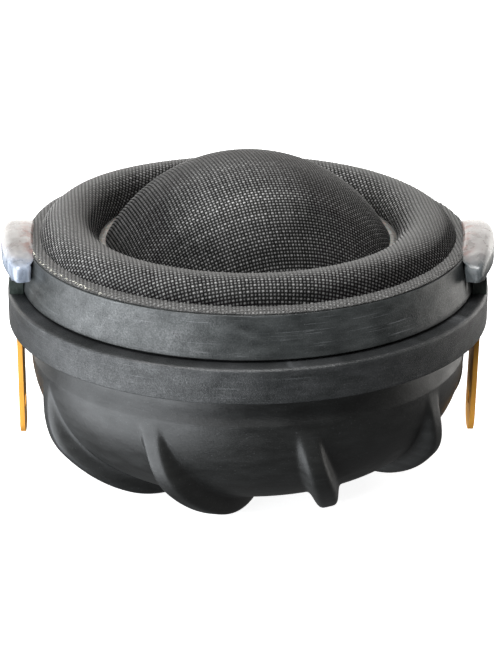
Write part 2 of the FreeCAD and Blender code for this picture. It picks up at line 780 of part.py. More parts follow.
def lead_wire(name, side):
    """The fine lead from the winding, under the surround, to its solder joint."""
    label = "lead_wire_" + name
    start_radius = size("former_radius") + size("winding_depth") / 2
    start = winding_foot() + size("winding_height")
    ledge = RING_TOP - size("lead_groove_depth") / 2
    over_felt = RING_FLOOR_TOP + size("ring_felt_depth") + LOOSE
    solder_top = size("tab_top") + size("solder_height")
    bend = size("lead_radius") * 2
    corners = [
        (start_radius, start),
        (start_radius, start + size("lead_rise")),
        (size("ring_floor_bore") + LOOSE, over_felt),
        (size("ring_bore") - LOOSE, ledge),
        (size("tab_offset") - bend, ledge),
        (size("tab_offset"), ledge - bend),
        (size("tab_offset"), solder_top),
    ]
    path = doc.addObject("Sketcher::SketchObject", label + "_path")
    path.Placement = Placement(Vector(0, 0, 0), Rotation(Vector(1, 0, 0), 90))
    draw_path(path, [(along * side, up) for along, up in corners], closed=False)
    section = doc.addObject("Sketcher::SketchObject", label + "_section")
    section.setExpression("Placement.Base.x", (start_radius * side).text)
    section.setExpression("Placement.Base.z", start.text)
    draw_circle(section, 0, 0, size("lead_radius"))
    doc.recompute()
    wire = doc.addObject("Part::Sweep", label)
    wire.Label = label
    wire.Sections = [section]
    wire.Spine = (path, ["Edge%d" % (i + 1) for i in range(len(corners) - 1)])
    wire.Solid = True
    wire.Transition = "Round corner"
    doc.recompute()
    return wire


def glue_cap(name, side, inner_pieces):
    """The cap of clear adhesive over the block, poured round the tab, solder and lead."""
    label = "glue_cap_" + name
    low = FLANGE_TOP + size("block_depth")
    shift = size("glue_shift")
    sector = rim_sector(label, size("glue_radius"), low, size("glue_top"),
                        size("glue_half_length"), side, shift)
    drop = doc.addObject("Part::Ellipsoid", label + "_drop")
    drop.setExpression("Radius1", size("drop_half_height").text)
    drop.setExpression("Radius2", size("drop_half_depth").text)
    drop.setExpression("Radius3", size("drop_half_length").text)
    drop.setExpression("Placement.Base.x", (size("drop_reach") * side).text)
    drop.setExpression("Placement.Base.y", shift.text)
    drop.setExpression("Placement.Base.z", (low + size("drop_rise")).text)
    doc.recompute()
    rounded = combined("Part::Common", label + "_rounded", sector, drop)
    inside = doc.addObject("Part::MultiFuse", label + "_inside")
    inside.Shapes = inner_pieces
    return combined("Part::Cut", label, rounded, inside)


# --- build, check and write -------------------------------------------------------------

positive_tab = terminal("positive", 1, size("tab_lean"))
negative_tab = terminal("negative", -1, as_size(0))
positive_lead = lead_wire("positive", 1)
negative_lead = lead_wire("negative", -1)
positive_solder = solder_cone("positive", 1)
negative_solder = solder_cone("negative", -1)
solder_joints = doc.addObject("Part::Compound", "solder_joints")
solder_joints.Links = [positive_solder, negative_solder]

subparts = [
    chassis_flange(),
    diaphragm_ring(),
    ring_gasket(),
    cup_gasket(),
    rear_cup(),
    chamber_wadding(),
    surround(),
    dome(),
    dome_bond_ring(),
    coil_former(),
    voice_coil(),
    top_plate(),
    magnet(),
    yoke(),
    copper_cap(),
    pole_felt(),
    surround_felt(),
    positive_tab,
    negative_tab,
    terminal_block("positive", 1),
    terminal_block("negative", -1),
    positive_lead,
    negative_lead,
    solder_joints,
    glue_cap("positive", 1, [positive_tab, positive_lead, positive_solder]),
    glue_cap("negative", -1, [negative_tab, negative_lead, negative_solder]),
]
doc.recompute()

for item in doc.Objects:
    if "Invalid" in item.State or "Error" in item.State:
        raise ValueError("%s failed: %s" % (item.Label, item.State))
for piece in subparts:
    if piece.Shape.isNull() or not piece.Shape.isValid() or not piece.Shape.Solids:
        raise ValueError(piece.Label + " has no valid solid")

os.makedirs("parts", exist_ok=True)
for piece in subparts:
    piece.Shape.exportStep("parts/%s.step" % piece.Label)
    print("%-26s %2d solid %9.3f mm3" % (piece.Label, len(piece.Shape.Solids), piece.Shape.Volume))
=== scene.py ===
import json
import math
import random

import bmesh
import bpy
import numpy as np
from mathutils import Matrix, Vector, noise


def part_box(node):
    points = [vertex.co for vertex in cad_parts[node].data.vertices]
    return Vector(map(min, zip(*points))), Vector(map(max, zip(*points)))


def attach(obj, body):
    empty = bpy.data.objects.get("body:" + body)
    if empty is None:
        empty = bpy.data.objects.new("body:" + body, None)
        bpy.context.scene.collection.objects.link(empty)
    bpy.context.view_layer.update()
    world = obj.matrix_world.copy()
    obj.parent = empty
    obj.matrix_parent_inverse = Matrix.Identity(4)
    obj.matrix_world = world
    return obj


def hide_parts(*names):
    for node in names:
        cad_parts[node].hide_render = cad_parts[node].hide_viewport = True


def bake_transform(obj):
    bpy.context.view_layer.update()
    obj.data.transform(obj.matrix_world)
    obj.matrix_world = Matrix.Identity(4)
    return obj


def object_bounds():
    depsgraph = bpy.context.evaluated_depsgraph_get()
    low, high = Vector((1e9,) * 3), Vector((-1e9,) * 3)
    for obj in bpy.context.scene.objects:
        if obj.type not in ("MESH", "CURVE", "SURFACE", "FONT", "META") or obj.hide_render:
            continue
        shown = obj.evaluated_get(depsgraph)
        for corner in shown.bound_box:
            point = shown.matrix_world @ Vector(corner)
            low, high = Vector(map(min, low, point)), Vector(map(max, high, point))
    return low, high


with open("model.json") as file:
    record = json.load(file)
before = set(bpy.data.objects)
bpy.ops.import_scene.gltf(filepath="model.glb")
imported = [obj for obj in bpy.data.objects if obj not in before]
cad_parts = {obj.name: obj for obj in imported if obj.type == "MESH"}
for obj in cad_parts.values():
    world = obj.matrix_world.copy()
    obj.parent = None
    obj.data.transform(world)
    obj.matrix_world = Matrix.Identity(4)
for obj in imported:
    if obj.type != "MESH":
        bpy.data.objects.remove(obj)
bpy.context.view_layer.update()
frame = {"nodes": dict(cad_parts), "record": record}

MM = 0.001
random.seed(7)
rng = np.random.default_rng(7)


# --- sizes, from the frame ---

def reach_and_heights(node):
    """Largest radius about the axis, and the lowest and highest z, of a round CAD node."""
    low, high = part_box(node)
    return max(high.x, high.y), low.z, high.z


FLANGE_RADIUS, _, FLANGE_TOP = reach_and_heights("chassis_flange")
RING_BASE_RADIUS, RING_FOOT, RING_TOP = reach_and_heights("diaphragm_ring")
GASKET_RADIUS, GASKET_FOOT, GASKET_TOP = reach_and_heights("ring_gasket")
RIM_RADIUS, LIP_FOOT, CREST_TOP = reach_and_heights("surround")
DOME_RADIUS, DOME_BASE, DOME_APEX = reach_and_heights("dome")
BEAD_RADIUS, _, BEAD_TOP = reach_and_heights("dome_bond_ring")
_, _, CUP_TOP = reach_and_heights("rear_cup")
FORMER_RADIUS, _, _ = reach_and_heights("coil_former")
COIL_RADIUS, _, COIL_TOP = reach_and_heights("voice_coil")

RING_TAPER = 0.6 * MM             # how much the ring narrows from its foot to its top
RING_BORE = 19.6 * MM             # above the ring's inner web
RING_WEB_BORE = 15.3 * MM         # through the web
RING_WEB = 0.8 * MM               # thickness of the web
CUP_BORE = 19.45 * MM             # counterbore in the flange's rear face
CUP_BORE_DEPTH = 1.5 * MM
MOTOR_BORE = 17.85 * MM           # bore in the flange's front face
RIM_THICKNESS = 0.4 * MM          # cloth and adhesive on top of the ring
CLOTH = 0.3 * MM                  # thickness of the coated cloth
ROLL_FOOT_RADIUS = RIM_RADIUS - 1.25 * MM
ROLL_CREST_RADIUS = 17.4 * MM
ROLL_INNER_RADIUS = BEAD_RADIUS + 0.05 * MM
COLLAR_RADIUS = 20.65 * MM        # the cup's neck below the flange
COLLAR_DROP = 2.95 * MM
COLLAR_STEP = 0.3 * MM            # height of the step from the collar out to the bowl
BOWL_RADIUS = 21.4 * MM
BOWL_ROUND = 11.0 * MM
BOWL_WALL = 1.3 * MM

WEAVE_PITCH = 0.35 * MM           # thread spacing of the cloth
WEAVE_STEP = WEAVE_PITCH / 3      # grid of the woven sheets
WEAVE_RELIEF = 0.11 * MM          # from the gaps to the crests
WEAVE_WANDER = 0.05 * WEAVE_PITCH # how far the threads stray from straight lines
# Painted shade: the warp's crests are darkened beside the weft's, which catch the light more.
WARP_PAINTED_SHADE = 0.5                   # lightness of the warp's crests beside the weft's
THREAD_TONES = 400                # tones drawn for each set of threads
DOME_WEAVE_TURN = math.radians(15)      # the threads against +X
SURROUND_WEAVE_TURN = math.radians(5)

# Painted light: the cloth is painted palest where it faces a fixed direction, as if lit from
# there, and darker as it turns away. A reach holds how well it agrees with that direction
# where it is darkest and where it is palest, and then its painted lightness at those two places.
DOME_PAINTED_LIGHT = (-0.07, -0.38, 0.92)
DOME_PAINTED_LIGHT_REACH = (0.89, 0.99, 0.52, 1.55)
ROLL_PAINTED_LIGHT = (-0.42, -0.02, 0.91)
ROLL_PAINTED_LIGHT_REACH = (0.45, 0.98, 0.30, 1.50)
LIGHTEST = 1.6                    # top of the scale that those lightnesses are on

BLACK = (0, 0, 0)
WHITE = (1, 1, 1)


# --- meshes ---

def make_object(name, vertices, faces, smooth_angle=40):
    """A mesh object with outward normals, smooth apart from edges sharper than smooth_angle."""
    mesh = bpy.data.meshes.new(name)
    mesh.from_pydata(np.asarray(vertices).tolist(), [], faces)
    work = bmesh.new()
    work.from_mesh(mesh)
    bmesh.ops.remove_doubles(work, verts=work.verts, dist=1e-7)
    bmesh.ops.recalc_face_normals(work, faces=work.faces)
    work.to_mesh(mesh)
    work.free()
    mesh.shade_smooth()
    mesh.set_sharp_from_angle(angle=math.radians(smooth_angle))
    obj = bpy.data.objects.new(name, mesh)
    bpy.context.scene.collection.objects.link(obj)
    return obj


def rounded(corners, steps=4):
    """An outline with its corners rounded; each corner is (radius, height, round)."""
    points = []
    for index, (r, z, size) in enumerate(corners):
        corner = np.array((r, z))
        if size == 0:
            points.append(corner)
            continue
        before = np.array(corners[index - 1][:2]) - corner
        after = np.array(corners[(index + 1) % len(corners)][:2]) - corner
        start = corner + before / np.linalg.norm(before) * size
        end = corner + after / np.linalg.norm(after) * size
        for share in np.linspace(0, 1, steps):
            points.append((1 - share) ** 2 * start + 2 * share * (1 - share) * corner
                          + share ** 2 * end)
    return np.array(points)


def dense(points, spacing):
    """The same closed outline with extra points, so that no step is longer than spacing."""
    filled = []
    for start, end in zip(points, np.roll(points, -1, axis=0)):
        count = max(1, int(np.linalg.norm(end - start) / spacing))
        filled += [start + (end - start) * k / count for k in range(count)]
    return np.array(filled)


def grid_faces(columns, rows, close_columns=True, close_rows=True):
    """Quads between neighbours of a columns by rows grid of points."""
    faces = []
    for i in range(columns if close_columns else columns - 1):
        for j in range(rows if close_rows else rows - 1):
            following, above = (i + 1) % columns, (j + 1) % rows
            faces.append((i * rows + j, following * rows + j, following * rows + above,
                          i * rows + above))
    return faces


def spun_points(outline, segments, shape=None):
    """Points of an outline turned about Z; shape(angle, r, z) may move them."""
    angle = np.linspace(0, 2 * math.pi, segments, endpoint=False)[:, None]
    r = np.broadcast_to(outline[:, 0], (segments, len(outline)))
    z = np.broadcast_to(outline[:, 1], r.shape)
    if shape:
        r, z = shape(angle, r, z)
    return ring_points(angle, r, z).reshape(-1, 3)


def ring_points(angle, r, z):
    return np.stack([r * np.cos(angle), r * np.sin(angle), z], -1)


def lathe(name, outline, segments=360, shape=None, smooth_angle=40):
    """A closed outline turned about Z."""
    points = spun_points(outline, segments, shape)
    return make_object(name, points, grid_faces(segments, len(outline)), smooth_angle)


def waviness(angle, r, z, amount, size):
    """Slow unevenness over a turned surface."""
    out = np.zeros(np.broadcast(angle, r).shape)
    for turns, phase in ((3, 0.4), (5, 2.1), (8, 4.0), (13, 1.3)):
        out += np.sin(turns * angle + phase + z / size) / turns
    return out * amount


def front_angle(degrees):
    """The angle about Z of a place degrees round from -Y towards +X."""
    return math.radians(degrees - 90)


def smooth_step(x):
    x = np.clip(x, 0, 1)
    return x * x * (3 - 2 * x)


def angle_gap(angle, middle):
    """Signed difference of two angles, from -pi to pi."""
    return (angle - middle + math.pi) % (2 * math.pi) - math.pi


def place(obj, body, slot, *nodes):
    """Ride obj on a body, name its slot and let it stand for CAD nodes."""
    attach(obj, body)
    finish_piece(obj, slot, *nodes)


def finish_piece(obj, slot, *nodes):
    """Give obj its material and slot, and let it stand for CAD nodes."""
    obj.data.materials.append(MATERIALS[slot])
    if nodes:
        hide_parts(*nodes)


# --- materials ---

class Shader:
    """A node material, built with one short call per node."""

    def __init__(self, name):
        self.material = bpy.data.materials.new(name)
        self.material.use_nodes = True
        self.tree = self.material.node_tree
        self.tree.nodes.clear()
        self.place = self.add("ShaderNodeTexCoord").outputs["Object"]

    def add(self, kind, inputs=None, **settings):
        node = self.tree.nodes.new(kind)
        for key, value in settings.items():
            setattr(node, key, value)
        for key, value in (inputs or {}).items():
            if isinstance(value, bpy.types.NodeSocket):
                self.tree.links.new(value, node.inputs[key])
            else:
                node.inputs[key].default_value = value
        return node

    def math(self, operation, first, second=0.0):
        return self.add("ShaderNodeMath", {0: first, 1: second}, operation=operation).outputs[0]

    def times(self, first, second):
        return self.math("MULTIPLY", first, second)

    def parts(self, vector):
        return self.add("ShaderNodeSeparateXYZ", {0: vector}).outputs

    def attribute(self, name):
        return self.add("ShaderNodeAttribute", attribute_name=name).outputs["Fac"]

    def facing(self, name):
        """How squarely the direction in a vector attribute faces the viewer, and how far up."""
        direction = self.add("ShaderNodeAttribute", attribute_name=name).outputs["Vector"]
        viewer = self.add("ShaderNodeNewGeometry").outputs["Incoming"]
        dot = self.add("ShaderNodeVectorMath", {0: direction, 1: viewer}, operation="DOT_PRODUCT")
        upward = self.parts(direction)["Z"]
        return self.math("ABSOLUTE", dot.outputs["Value"]), upward

    def along(self, name, direction):
        """How far the direction in a vector attribute agrees with a fixed one."""
        vector = self.add("ShaderNodeAttribute", attribute_name=name).outputs["Vector"]
        return self.add("ShaderNodeVectorMath", {0: vector, 1: direction},
                        operation="DOT_PRODUCT").outputs["Value"]

    def noise(self, size, vector=None, detail=3.0, roughness=0.55):
        """Noise whose blotches are about size metres across."""
        inputs = {"Vector": vector or self.place, "Scale": 1 / size, "Detail": detail,
                  "Roughness": roughness}
        return self.add("ShaderNodeTexNoise", inputs).outputs["Fac"]

    def stretched(self, x, y, z):
        """The object's coordinates scaled along each axis."""
        return self.add("ShaderNodeMapping", {"Vector": self.place, "Scale": (x, y, z)}).outputs[0]

    def round_coordinates(self, along, up):
        """Length round the axis and height, each scaled, for marks that run round a turned part."""
        parts = self.parts(self.place)
        angle = self.math("ARCTAN2", parts[1], parts[0])
        round_length = self.times(angle, FLANGE_RADIUS * along)
        height = self.times(parts[2], up)
        return self.add("ShaderNodeCombineXYZ", {0: round_length, 1: height}).outputs[0]

    def ramp(self, factor, *stops):
        """Colour by factor; each stop is (position, colour)."""
        node = self.add("ShaderNodeValToRGB", {"Fac": factor})
        elements = node.color_ramp.elements
        while len(elements) < len(stops):
            elements.new(0.5)
        for element, (position, colour) in zip(elements, stops):
            element.position = position
            element.color = (*colour, 1) if len(colour) == 3 else colour
        return node.outputs["Color"]

    def level(self, factor, low, high, start=0.0, end=1.0):
        """A number from low to high as factor goes from start to end."""
        inputs = {"Value": factor, "From Min": start, "From Max": end, "To Min": low,
                  "To Max": high}
        return self.add("ShaderNodeMapRange", inputs).outputs[0]

    def mix(self, factor, first, second, blend="MIX"):
        node = self.add("ShaderNodeMix", data_type="RGBA", blend_type=blend)
        for key, value in ((0, factor), (6, first), (7, second)):
            if isinstance(value, bpy.types.NodeSocket):
                self.tree.links.new(value, node.inputs[key])
            else:
                node.inputs[key].default_value = value if key == 0 else (*value, 1)
        return node.outputs[2]

    def scaled(self, colour, share, full):
        """The colour multiplied by share times the colour full."""
        return self.mix(1.0, colour, self.ramp(share, (0.0, BLACK), (1.0, full)), "MULTIPLY")

    def bump(self, height, distance, strength=1.0, normal=None):
        inputs = {"Height": height, "Distance": distance, "Strength": strength}
        if normal:
            inputs["Normal"] = normal
        return self.add("ShaderNodeBump", inputs).outputs[0]

    def surface(self, **inputs):
        """Finish with a Principled surface; underscores in names stand for spaces."""
        named = {key.replace("_", " "): value for key, value in inputs.items()}
        shader = self.add("ShaderNodeBsdfPrincipled", named)
        self.add("ShaderNodeOutputMaterial", {"Surface": shader.outputs[0]})
        return self.material


def cloth(name, gap, thread, crest, sheen, painted_sheen_strength, painted_light, reach):
    """Coated plain weave: charcoal threads, gaps darkened by painted shade and crests lightened by
    a painted highlight.

    The threads attribute counts threads each way: a whole number is the middle of a thread.
    sheen sets how much stray fibre shows, and the argument after it the strength of a painted
    sheen. The last two give the direction of a painted light and its reach, described above.
    """
    shader = Shader(name)
    threads = shader.add("ShaderNodeAttribute", attribute_name="threads").outputs["Vector"]
    counts = shader.parts(threads)
    nearest = [shader.math("ROUND", count) for count in counts[:2]]
    offset = [shader.math("SUBTRACT", count, near) for count, near in zip(counts[:2], nearest)]
    weft = shader.math("FLOORED_MODULO", shader.math("ADD", *nearest), 2.0)
    across = shader.level(weft, offset[0], offset[1])
    along = shader.level(weft, offset[1], offset[0])
    ridge = shader.math("COSINE", shader.times(across, math.pi))
    crown = shader.math("COSINE", shader.times(along, math.pi))
    height = shader.times(ridge, shader.math("POWER", crown, 0.6))
    # Painted shade darkens the gaps between threads and a painted highlight lightens the crests.
    colour = shader.ramp(height, (0.0, gap), (0.30, gap), (0.52, thread), (0.66, thread),
                         (0.90, crest))
    tone = shader.level(shader.attribute("thread_tone"), 0.45, 1.0)
    # Painted shade: the warp's crests are darkened beside the weft's.
    tone = shader.times(tone, shader.level(weft, WARP_PAINTED_SHADE, 1.0))
    patches = shader.level(shader.noise(0.8 * MM), 0.7, 1.0, 0.35, 0.65)
    tone = shader.times(tone, patches)
    colour = shader.scaled(colour, tone, WHITE)
    fibre = shader.noise(0.09 * MM, detail=4, roughness=0.7)
    squareness, upward = shader.facing("sheet_normal")
    # Painted light: lighter where the cloth faces the fixed direction, darker as it turns away.
    dark_agreement, pale_agreement, darkest, palest = reach
    painted_lightness = shader.level(shader.along("sheet_normal", painted_light), darkest / LIGHTEST,
                             palest / LIGHTEST, dark_agreement, pale_agreement)
    colour = shader.scaled(colour, painted_lightness, (LIGHTEST, LIGHTEST, LIGHTEST))
    # Painted sheen: a light grey laid over cloth that faces up and is seen at a slant.
    painted_sheen = shader.level(squareness, painted_sheen_strength, 0.0, 0.20, 0.60)
    painted_sheen = shader.times(painted_sheen, shader.level(upward, 0.0, 1.0, 0.72, 0.97))
    painted_sheen = shader.times(painted_sheen, shader.level(fibre, 0.7, 1.0, 0.35, 0.6))
    colour = shader.mix(painted_sheen, colour, (0.110, 0.108, 0.105))
    rough = shader.level(fibre, 0.32, 0.55, 0.3, 0.7)
    exposure_and_painted_light = shader.level(height, 0.0, 0.7, 0.45, 0.9)
    # Painted light: the specular and sheen weights also follow the painted lightness.
    exposure_and_painted_light = shader.times(exposure_and_painted_light, shader.times(painted_lightness, LIGHTEST))
    relief = shader.bump(height, WEAVE_RELIEF, 0.8)
    return shader.surface(Base_Color=colour, Roughness=rough,
                          Specular_IOR_Level=shader.times(exposure_and_painted_light, 0.6),
                          Sheen_Weight=shader.times(exposure_and_painted_light, sheen),
                          Sheen_Roughness=0.4, Sheen_Tint=(0.95, 0.93, 0.92, 1),
                          Normal=shader.bump(fibre, 0.02 * MM, 0.6, relief))


def frayed(name):
    """Cut thread ends, mostly grey, with specks of dried adhesive at the left of the front."""
    shader = Shader(name)
    blotch = shader.noise(0.35 * MM, detail=2)
    colour = shader.ramp(blotch, (0.40, (0.03, 0.03, 0.03)), (0.70, (0.22, 0.215, 0.20)))
    parts = shader.parts(shader.place)
    at_left = shader.level(parts[0], 1.0, 0.0, -15 * MM, -12 * MM)
    at_front = shader.level(parts[1], 1.0, 0.0, -6 * MM, -4 * MM)
    glue = shader.level(shader.noise(0.8 * MM), 0.0, 1.0, 0.48, 0.55)
    glued = shader.times(shader.times(at_left, at_front), glue)
    colour = shader.mix(glued, colour, (0.75, 0.73, 0.62))
    return shader.surface(Base_Color=colour, Roughness=0.7,
                          Normal=shader.bump(blotch, 0.02 * MM, 0.6))


def moulded_plastic(name, dark, light, roughness, grain, scratch, relief, mottle):
    """Black moulded plastic with grain, faint flow marks, dust and scratches."""
    shader = Shader(name)
    speck = shader.noise(grain, detail=4, roughness=0.65)
    flow = shader.noise(3 * MM, shader.round_coordinates(1, 3), detail=4)
    colour = shader.ramp(flow, (0.3, dark), (0.72, light))
    dust = shader.noise(0.16 * MM, detail=2, roughness=0.8)
    dusty = shader.level(dust, 0.0, 0.5, 0.66, 0.80)
    colour = shader.mix(dusty, colour, (0.16, 0.16, 0.17))
    marks = shader.noise(0.9 * MM, shader.round_coordinates(0.10, 5), detail=5, roughness=0.7)
    scratched = shader.level(marks, 0.0, scratch, 0.60, 0.70)
    colour = shader.mix(scratched, colour, (0.12, 0.125, 0.13))
    rough = shader.level(flow, roughness - 0.07, roughness + 0.09, 0.3, 0.7)
    height = shader.math("ADD", speck, shader.times(marks, 0.5))
    cloud = shader.noise(1.6 * MM, detail=3)
    shine = shader.times(shader.level(dust, 1 - mottle, 1 + mottle, 0.30, 0.70),
                        shader.level(cloud, 0.5 - mottle / 4, 0.5 + mottle / 4, 0.35, 0.65))
    return shader.surface(Base_Color=colour, Roughness=rough, Specular_IOR_Level=shine,
                          Normal=shader.bump(height, relief, 0.75))


def adhesive(name):
    """Milky set adhesive: pinkish above, silvery and bluish below, darkened below by painted shade
    on the right, copper showing near the rim.
    """
    shader = Shader(name)
    parts = shader.parts(shader.place)
    streaks = shader.noise(0.9 * MM, shader.stretched(1, 1, 0.25), detail=4)
    cloud = shader.noise(1.4 * MM, detail=3)
    lower = shader.ramp(streaks, (0.30, (0.13, 0.155, 0.19)), (0.52, (0.26, 0.30, 0.37)),
                        (0.72, (0.46, 0.50, 0.56)))
    upper = shader.ramp(cloud, (0.3, (0.21, 0.19, 0.18)), (0.5, (0.28, 0.265, 0.255)),
                        (0.75, (0.38, 0.37, 0.36)))
    rise = shader.level(shader.math("ADD", parts[2], shader.times(cloud, 1.2 * MM)),
                        0.0, 1.0, 7.9 * MM, 9.0 * MM)
    # Painted shade: the lower part of the lump on the right is darkened.
    right_painted_shade = shader.level(parts[0], 0.0, 0.85, -MM, MM)
    lower = shader.mix(right_painted_shade, lower, (0.055, 0.06, 0.054))
    colour = shader.mix(rise, lower, upper)
    radius = shader.math("SQRT", shader.math("ADD", shader.math("POWER", parts[0], 2.0),
                                             shader.math("POWER", parts[1], 2.0)))
    near_rim = shader.level(radius, 1.0, 0.0, 21.4 * MM, 22.5 * MM)
    copper = shader.times(near_rim, shader.level(streaks, 0.0, 0.8, 0.45, 0.6))
    colour = shader.mix(shader.times(copper, rise), colour, (0.22, 0.11, 0.09))
    return shader.surface(Base_Color=colour, Roughness=shader.level(cloud, 0.18, 0.42, 0.3, 0.7),
                          Transmission_Weight=0.10, IOR=1.46, Subsurface_Weight=0.35,
                          Subsurface_Radius=(0.9, 0.8, 0.8), Subsurface_Scale=0.7 * MM,
                          Coat_Weight=0.35, Coat_Roughness=0.2,
                          Normal=shader.bump(cloud, 0.15 * MM, 0.5))


def dry_adhesive(name, dark, light):
    """A thin opaque bead of set adhesive."""
    shader = Shader(name)
    blotch = shader.noise(0.5 * MM, detail=4)
    colour = shader.ramp(blotch, (0.3, dark), (0.65, light))
    return shader.surface(Base_Color=colour, Roughness=shader.level(blotch, 0.3, 0.6),
                          Subsurface_Weight=0.15, Subsurface_Scale=0.3 * MM,
                          Normal=shader.bump(blotch, 0.05 * MM, 0.6))


def metal(name, dark, light, roughness, grain, stretch=(1, 1, 1), tarnish=0.0, metallic=1.0):
    """Plated or bare metal with fine drawing lines and a little tarnish."""
    shader = Shader(name)
    lines = shader.noise(grain, shader.stretched(*stretch), detail=5, roughness=0.7)
    colour = shader.ramp(lines, (0.3, dark), (0.7, light))
    stain = shader.noise(2.0 * MM, detail=3)
    stained = shader.level(stain, 0.0, tarnish, 0.50, 0.75)
    colour = shader.mix(stained, colour, tuple(0.35 * c for c in dark))
    rough = shader.level(lines, roughness - 0.08, roughness + 0.12, 0.3, 0.7)
    return shader.surface(Base_Color=colour, Metallic=metallic, Roughness=rough,
                          Normal=shader.bump(lines, 0.01 * MM, 0.5))


def felt(name, dark, light):
    """Pressed or loose fibre."""
    shader = Shader(name)
    fibre = shader.noise(0.25 * MM, detail=6, roughness=0.8)
    clump = shader.noise(2.5 * MM, detail=2)
    colour = shader.ramp(shader.times(fibre, shader.math("ADD", clump, 0.5)),
                         (0.3, dark), (0.7, light))
    return shader.surface(Base_Color=colour, Roughness=0.95, Sheen_Weight=0.6,
                          Normal=shader.bump(fibre, 0.15 * MM, 0.9))


# Each slot's maker and what it is given after the name. For a plastic, that is its dark and
# light colours, roughness, grain size, scratches, relief and mottle. For a metal, it is the
# two colours, roughness, grain size, stretch of the grain, tarnish and metallic share.
# For a cloth, it is the gap, thread and crest colours, the sheen, the strength of its painted
# sheen, and the direction and reach of its painted light.
RECIPES = {
    "surround_cloth": (cloth, (0.028, 0.028, 0.027), (0.095, 0.094, 0.092),
                       (0.26, 0.257, 0.252), 0.20, 1.25, ROLL_PAINTED_LIGHT, ROLL_PAINTED_LIGHT_REACH),
    "dome_cloth": (cloth, (0.026, 0.026, 0.025), (0.092, 0.091, 0.089),
                   (0.24, 0.237, 0.233), 0.05, 0.55, DOME_PAINTED_LIGHT, DOME_PAINTED_LIGHT_REACH),
    "frayed_cloth": (frayed,),
    "chassis_plastic": (moulded_plastic, (0.010, 0.011, 0.011), (0.022, 0.023, 0.024),
                        0.40, 0.12 * MM, 0.5, 0.06 * MM, 0.45),
    "ring_plastic": (moulded_plastic, (0.014, 0.0155, 0.0155), (0.034, 0.037, 0.037),
                     0.33, 0.20 * MM, 0.9, 0.03 * MM, 0.5),
    "cup_plastic": (moulded_plastic, (0.007, 0.0073, 0.007), (0.012, 0.0125, 0.012),
                    0.42, 0.35 * MM, 0.08, 0.02 * MM, 0.08),
    "block_plastic": (moulded_plastic, (0.010, 0.016, 0.012), (0.024, 0.034, 0.028),
                      0.35, 0.3 * MM, 0.2, 0.03 * MM, 0.3),
    "gasket_rubber": (moulded_plastic, (0.006, 0.006, 0.006), (0.012, 0.012, 0.012),
                      0.75, 0.2 * MM, 0.0, 0.02 * MM, 0.3),
    "clear_adhesive": (adhesive,),
    "bond_adhesive": (dry_adhesive, (0.04, 0.038, 0.034), (0.20, 0.19, 0.175)),
    "gold_plated_brass": (metal, (0.82, 0.36, 0.045), (0.95, 0.47, 0.075), 0.55, 0.5 * MM,
                          (1, 1, 0.08), 0.2, 0.35),
    "copper": (metal, (0.55, 0.22, 0.11), (0.82, 0.42, 0.26), 0.3, 0.3 * MM),
    "enamelled_wire": (metal, (0.35, 0.11, 0.04), (0.60, 0.24, 0.10), 0.3, 0.15 * MM,
                       (0.1, 0.1, 4)),
    "former_aluminium": (metal, (0.50, 0.50, 0.52), (0.72, 0.72, 0.74), 0.35, 0.3 * MM),
    "motor_steel": (metal, (0.30, 0.30, 0.32), (0.50, 0.50, 0.52), 0.4, 0.4 * MM,
                    (1, 1, 1), 0.3),
    "magnet_nickel": (metal, (0.42, 0.41, 0.39), (0.62, 0.61, 0.58), 0.3, 0.6 * MM),
    "solder": (metal, (0.45, 0.46, 0.48), (0.72, 0.73, 0.75), 0.35, 0.2 * MM),
    "felt": (felt, (0.010, 0.010, 0.011), (0.05, 0.05, 0.052)),
    "wadding": (felt, (0.30, 0.29, 0.26), (0.72, 0.70, 0.66)),
}
MATERIALS = {name: recipe[0](name, *recipe[1:]) for name, recipe in RECIPES.items()}


# --- woven sheets ---

def weave_height(p, q):
    """Plain-weave height from 0 to 1, and whether the warp is on top, at thread coordinates."""
    lift, swell = 0.45, 0.55
    a, b = p / WEAVE_PITCH, q / WEAVE_PITCH
    warp_index, weft_index = np.round(a), np.round(b)
    warp = lift * np.cos(math.pi * (b + warp_index)) + swell * np.cos(math.pi * (a - warp_index))
    weft = swell * np.cos(math.pi * (b - weft_index)) - lift * np.cos(math.pi * (a + weft_index))
    return np.clip(np.maximum(warp, weft), 0, 1), warp > weft, warp_index, weft_index


def woven_grid(inner, outer):
    """Quads of a square grid between two travels, and the grid points that they use.

    The points come as travel and angle, and may lie up to a step outside the two travels.
    """
    half = int(outer / WEAVE_STEP) + 2
    line = np.arange(-half, half + 1) * WEAVE_STEP
    p, q = np.meshgrid(line, line, indexing="ij")
    travel = np.hypot(p, q)
    inside = (travel <= outer) & (travel >= inner)
    cells = inside[:-1, :-1] | inside[1:, :-1] | inside[:-1, 1:] | inside[1:, 1:]
    side = len(line)
    first = (np.arange(side - 1)[:, None] * side + np.arange(side - 1))[cells]
    quads = np.stack([first, first + side, first + side + 1, first + 1], 1)
    used, quads = np.unique(quads, return_inverse=True)
    angle = np.arctan2(q.ravel()[used], p.ravel()[used])
    return quads.reshape(-1, 4), travel.ravel()[used], angle


def strayed(p, q):
    """Thread coordinates that wander a little, as real threads do."""
    p = p + WEAVE_WANDER * np.sin(q / (2.3 * MM)) + WEAVE_WANDER * np.sin(q / (0.9 * MM) + 1)
    q = q + WEAVE_WANDER * np.sin(p / (2.9 * MM) + 2) + WEAVE_WANDER * np.sin(p / (1.1 * MM))
    return p, q


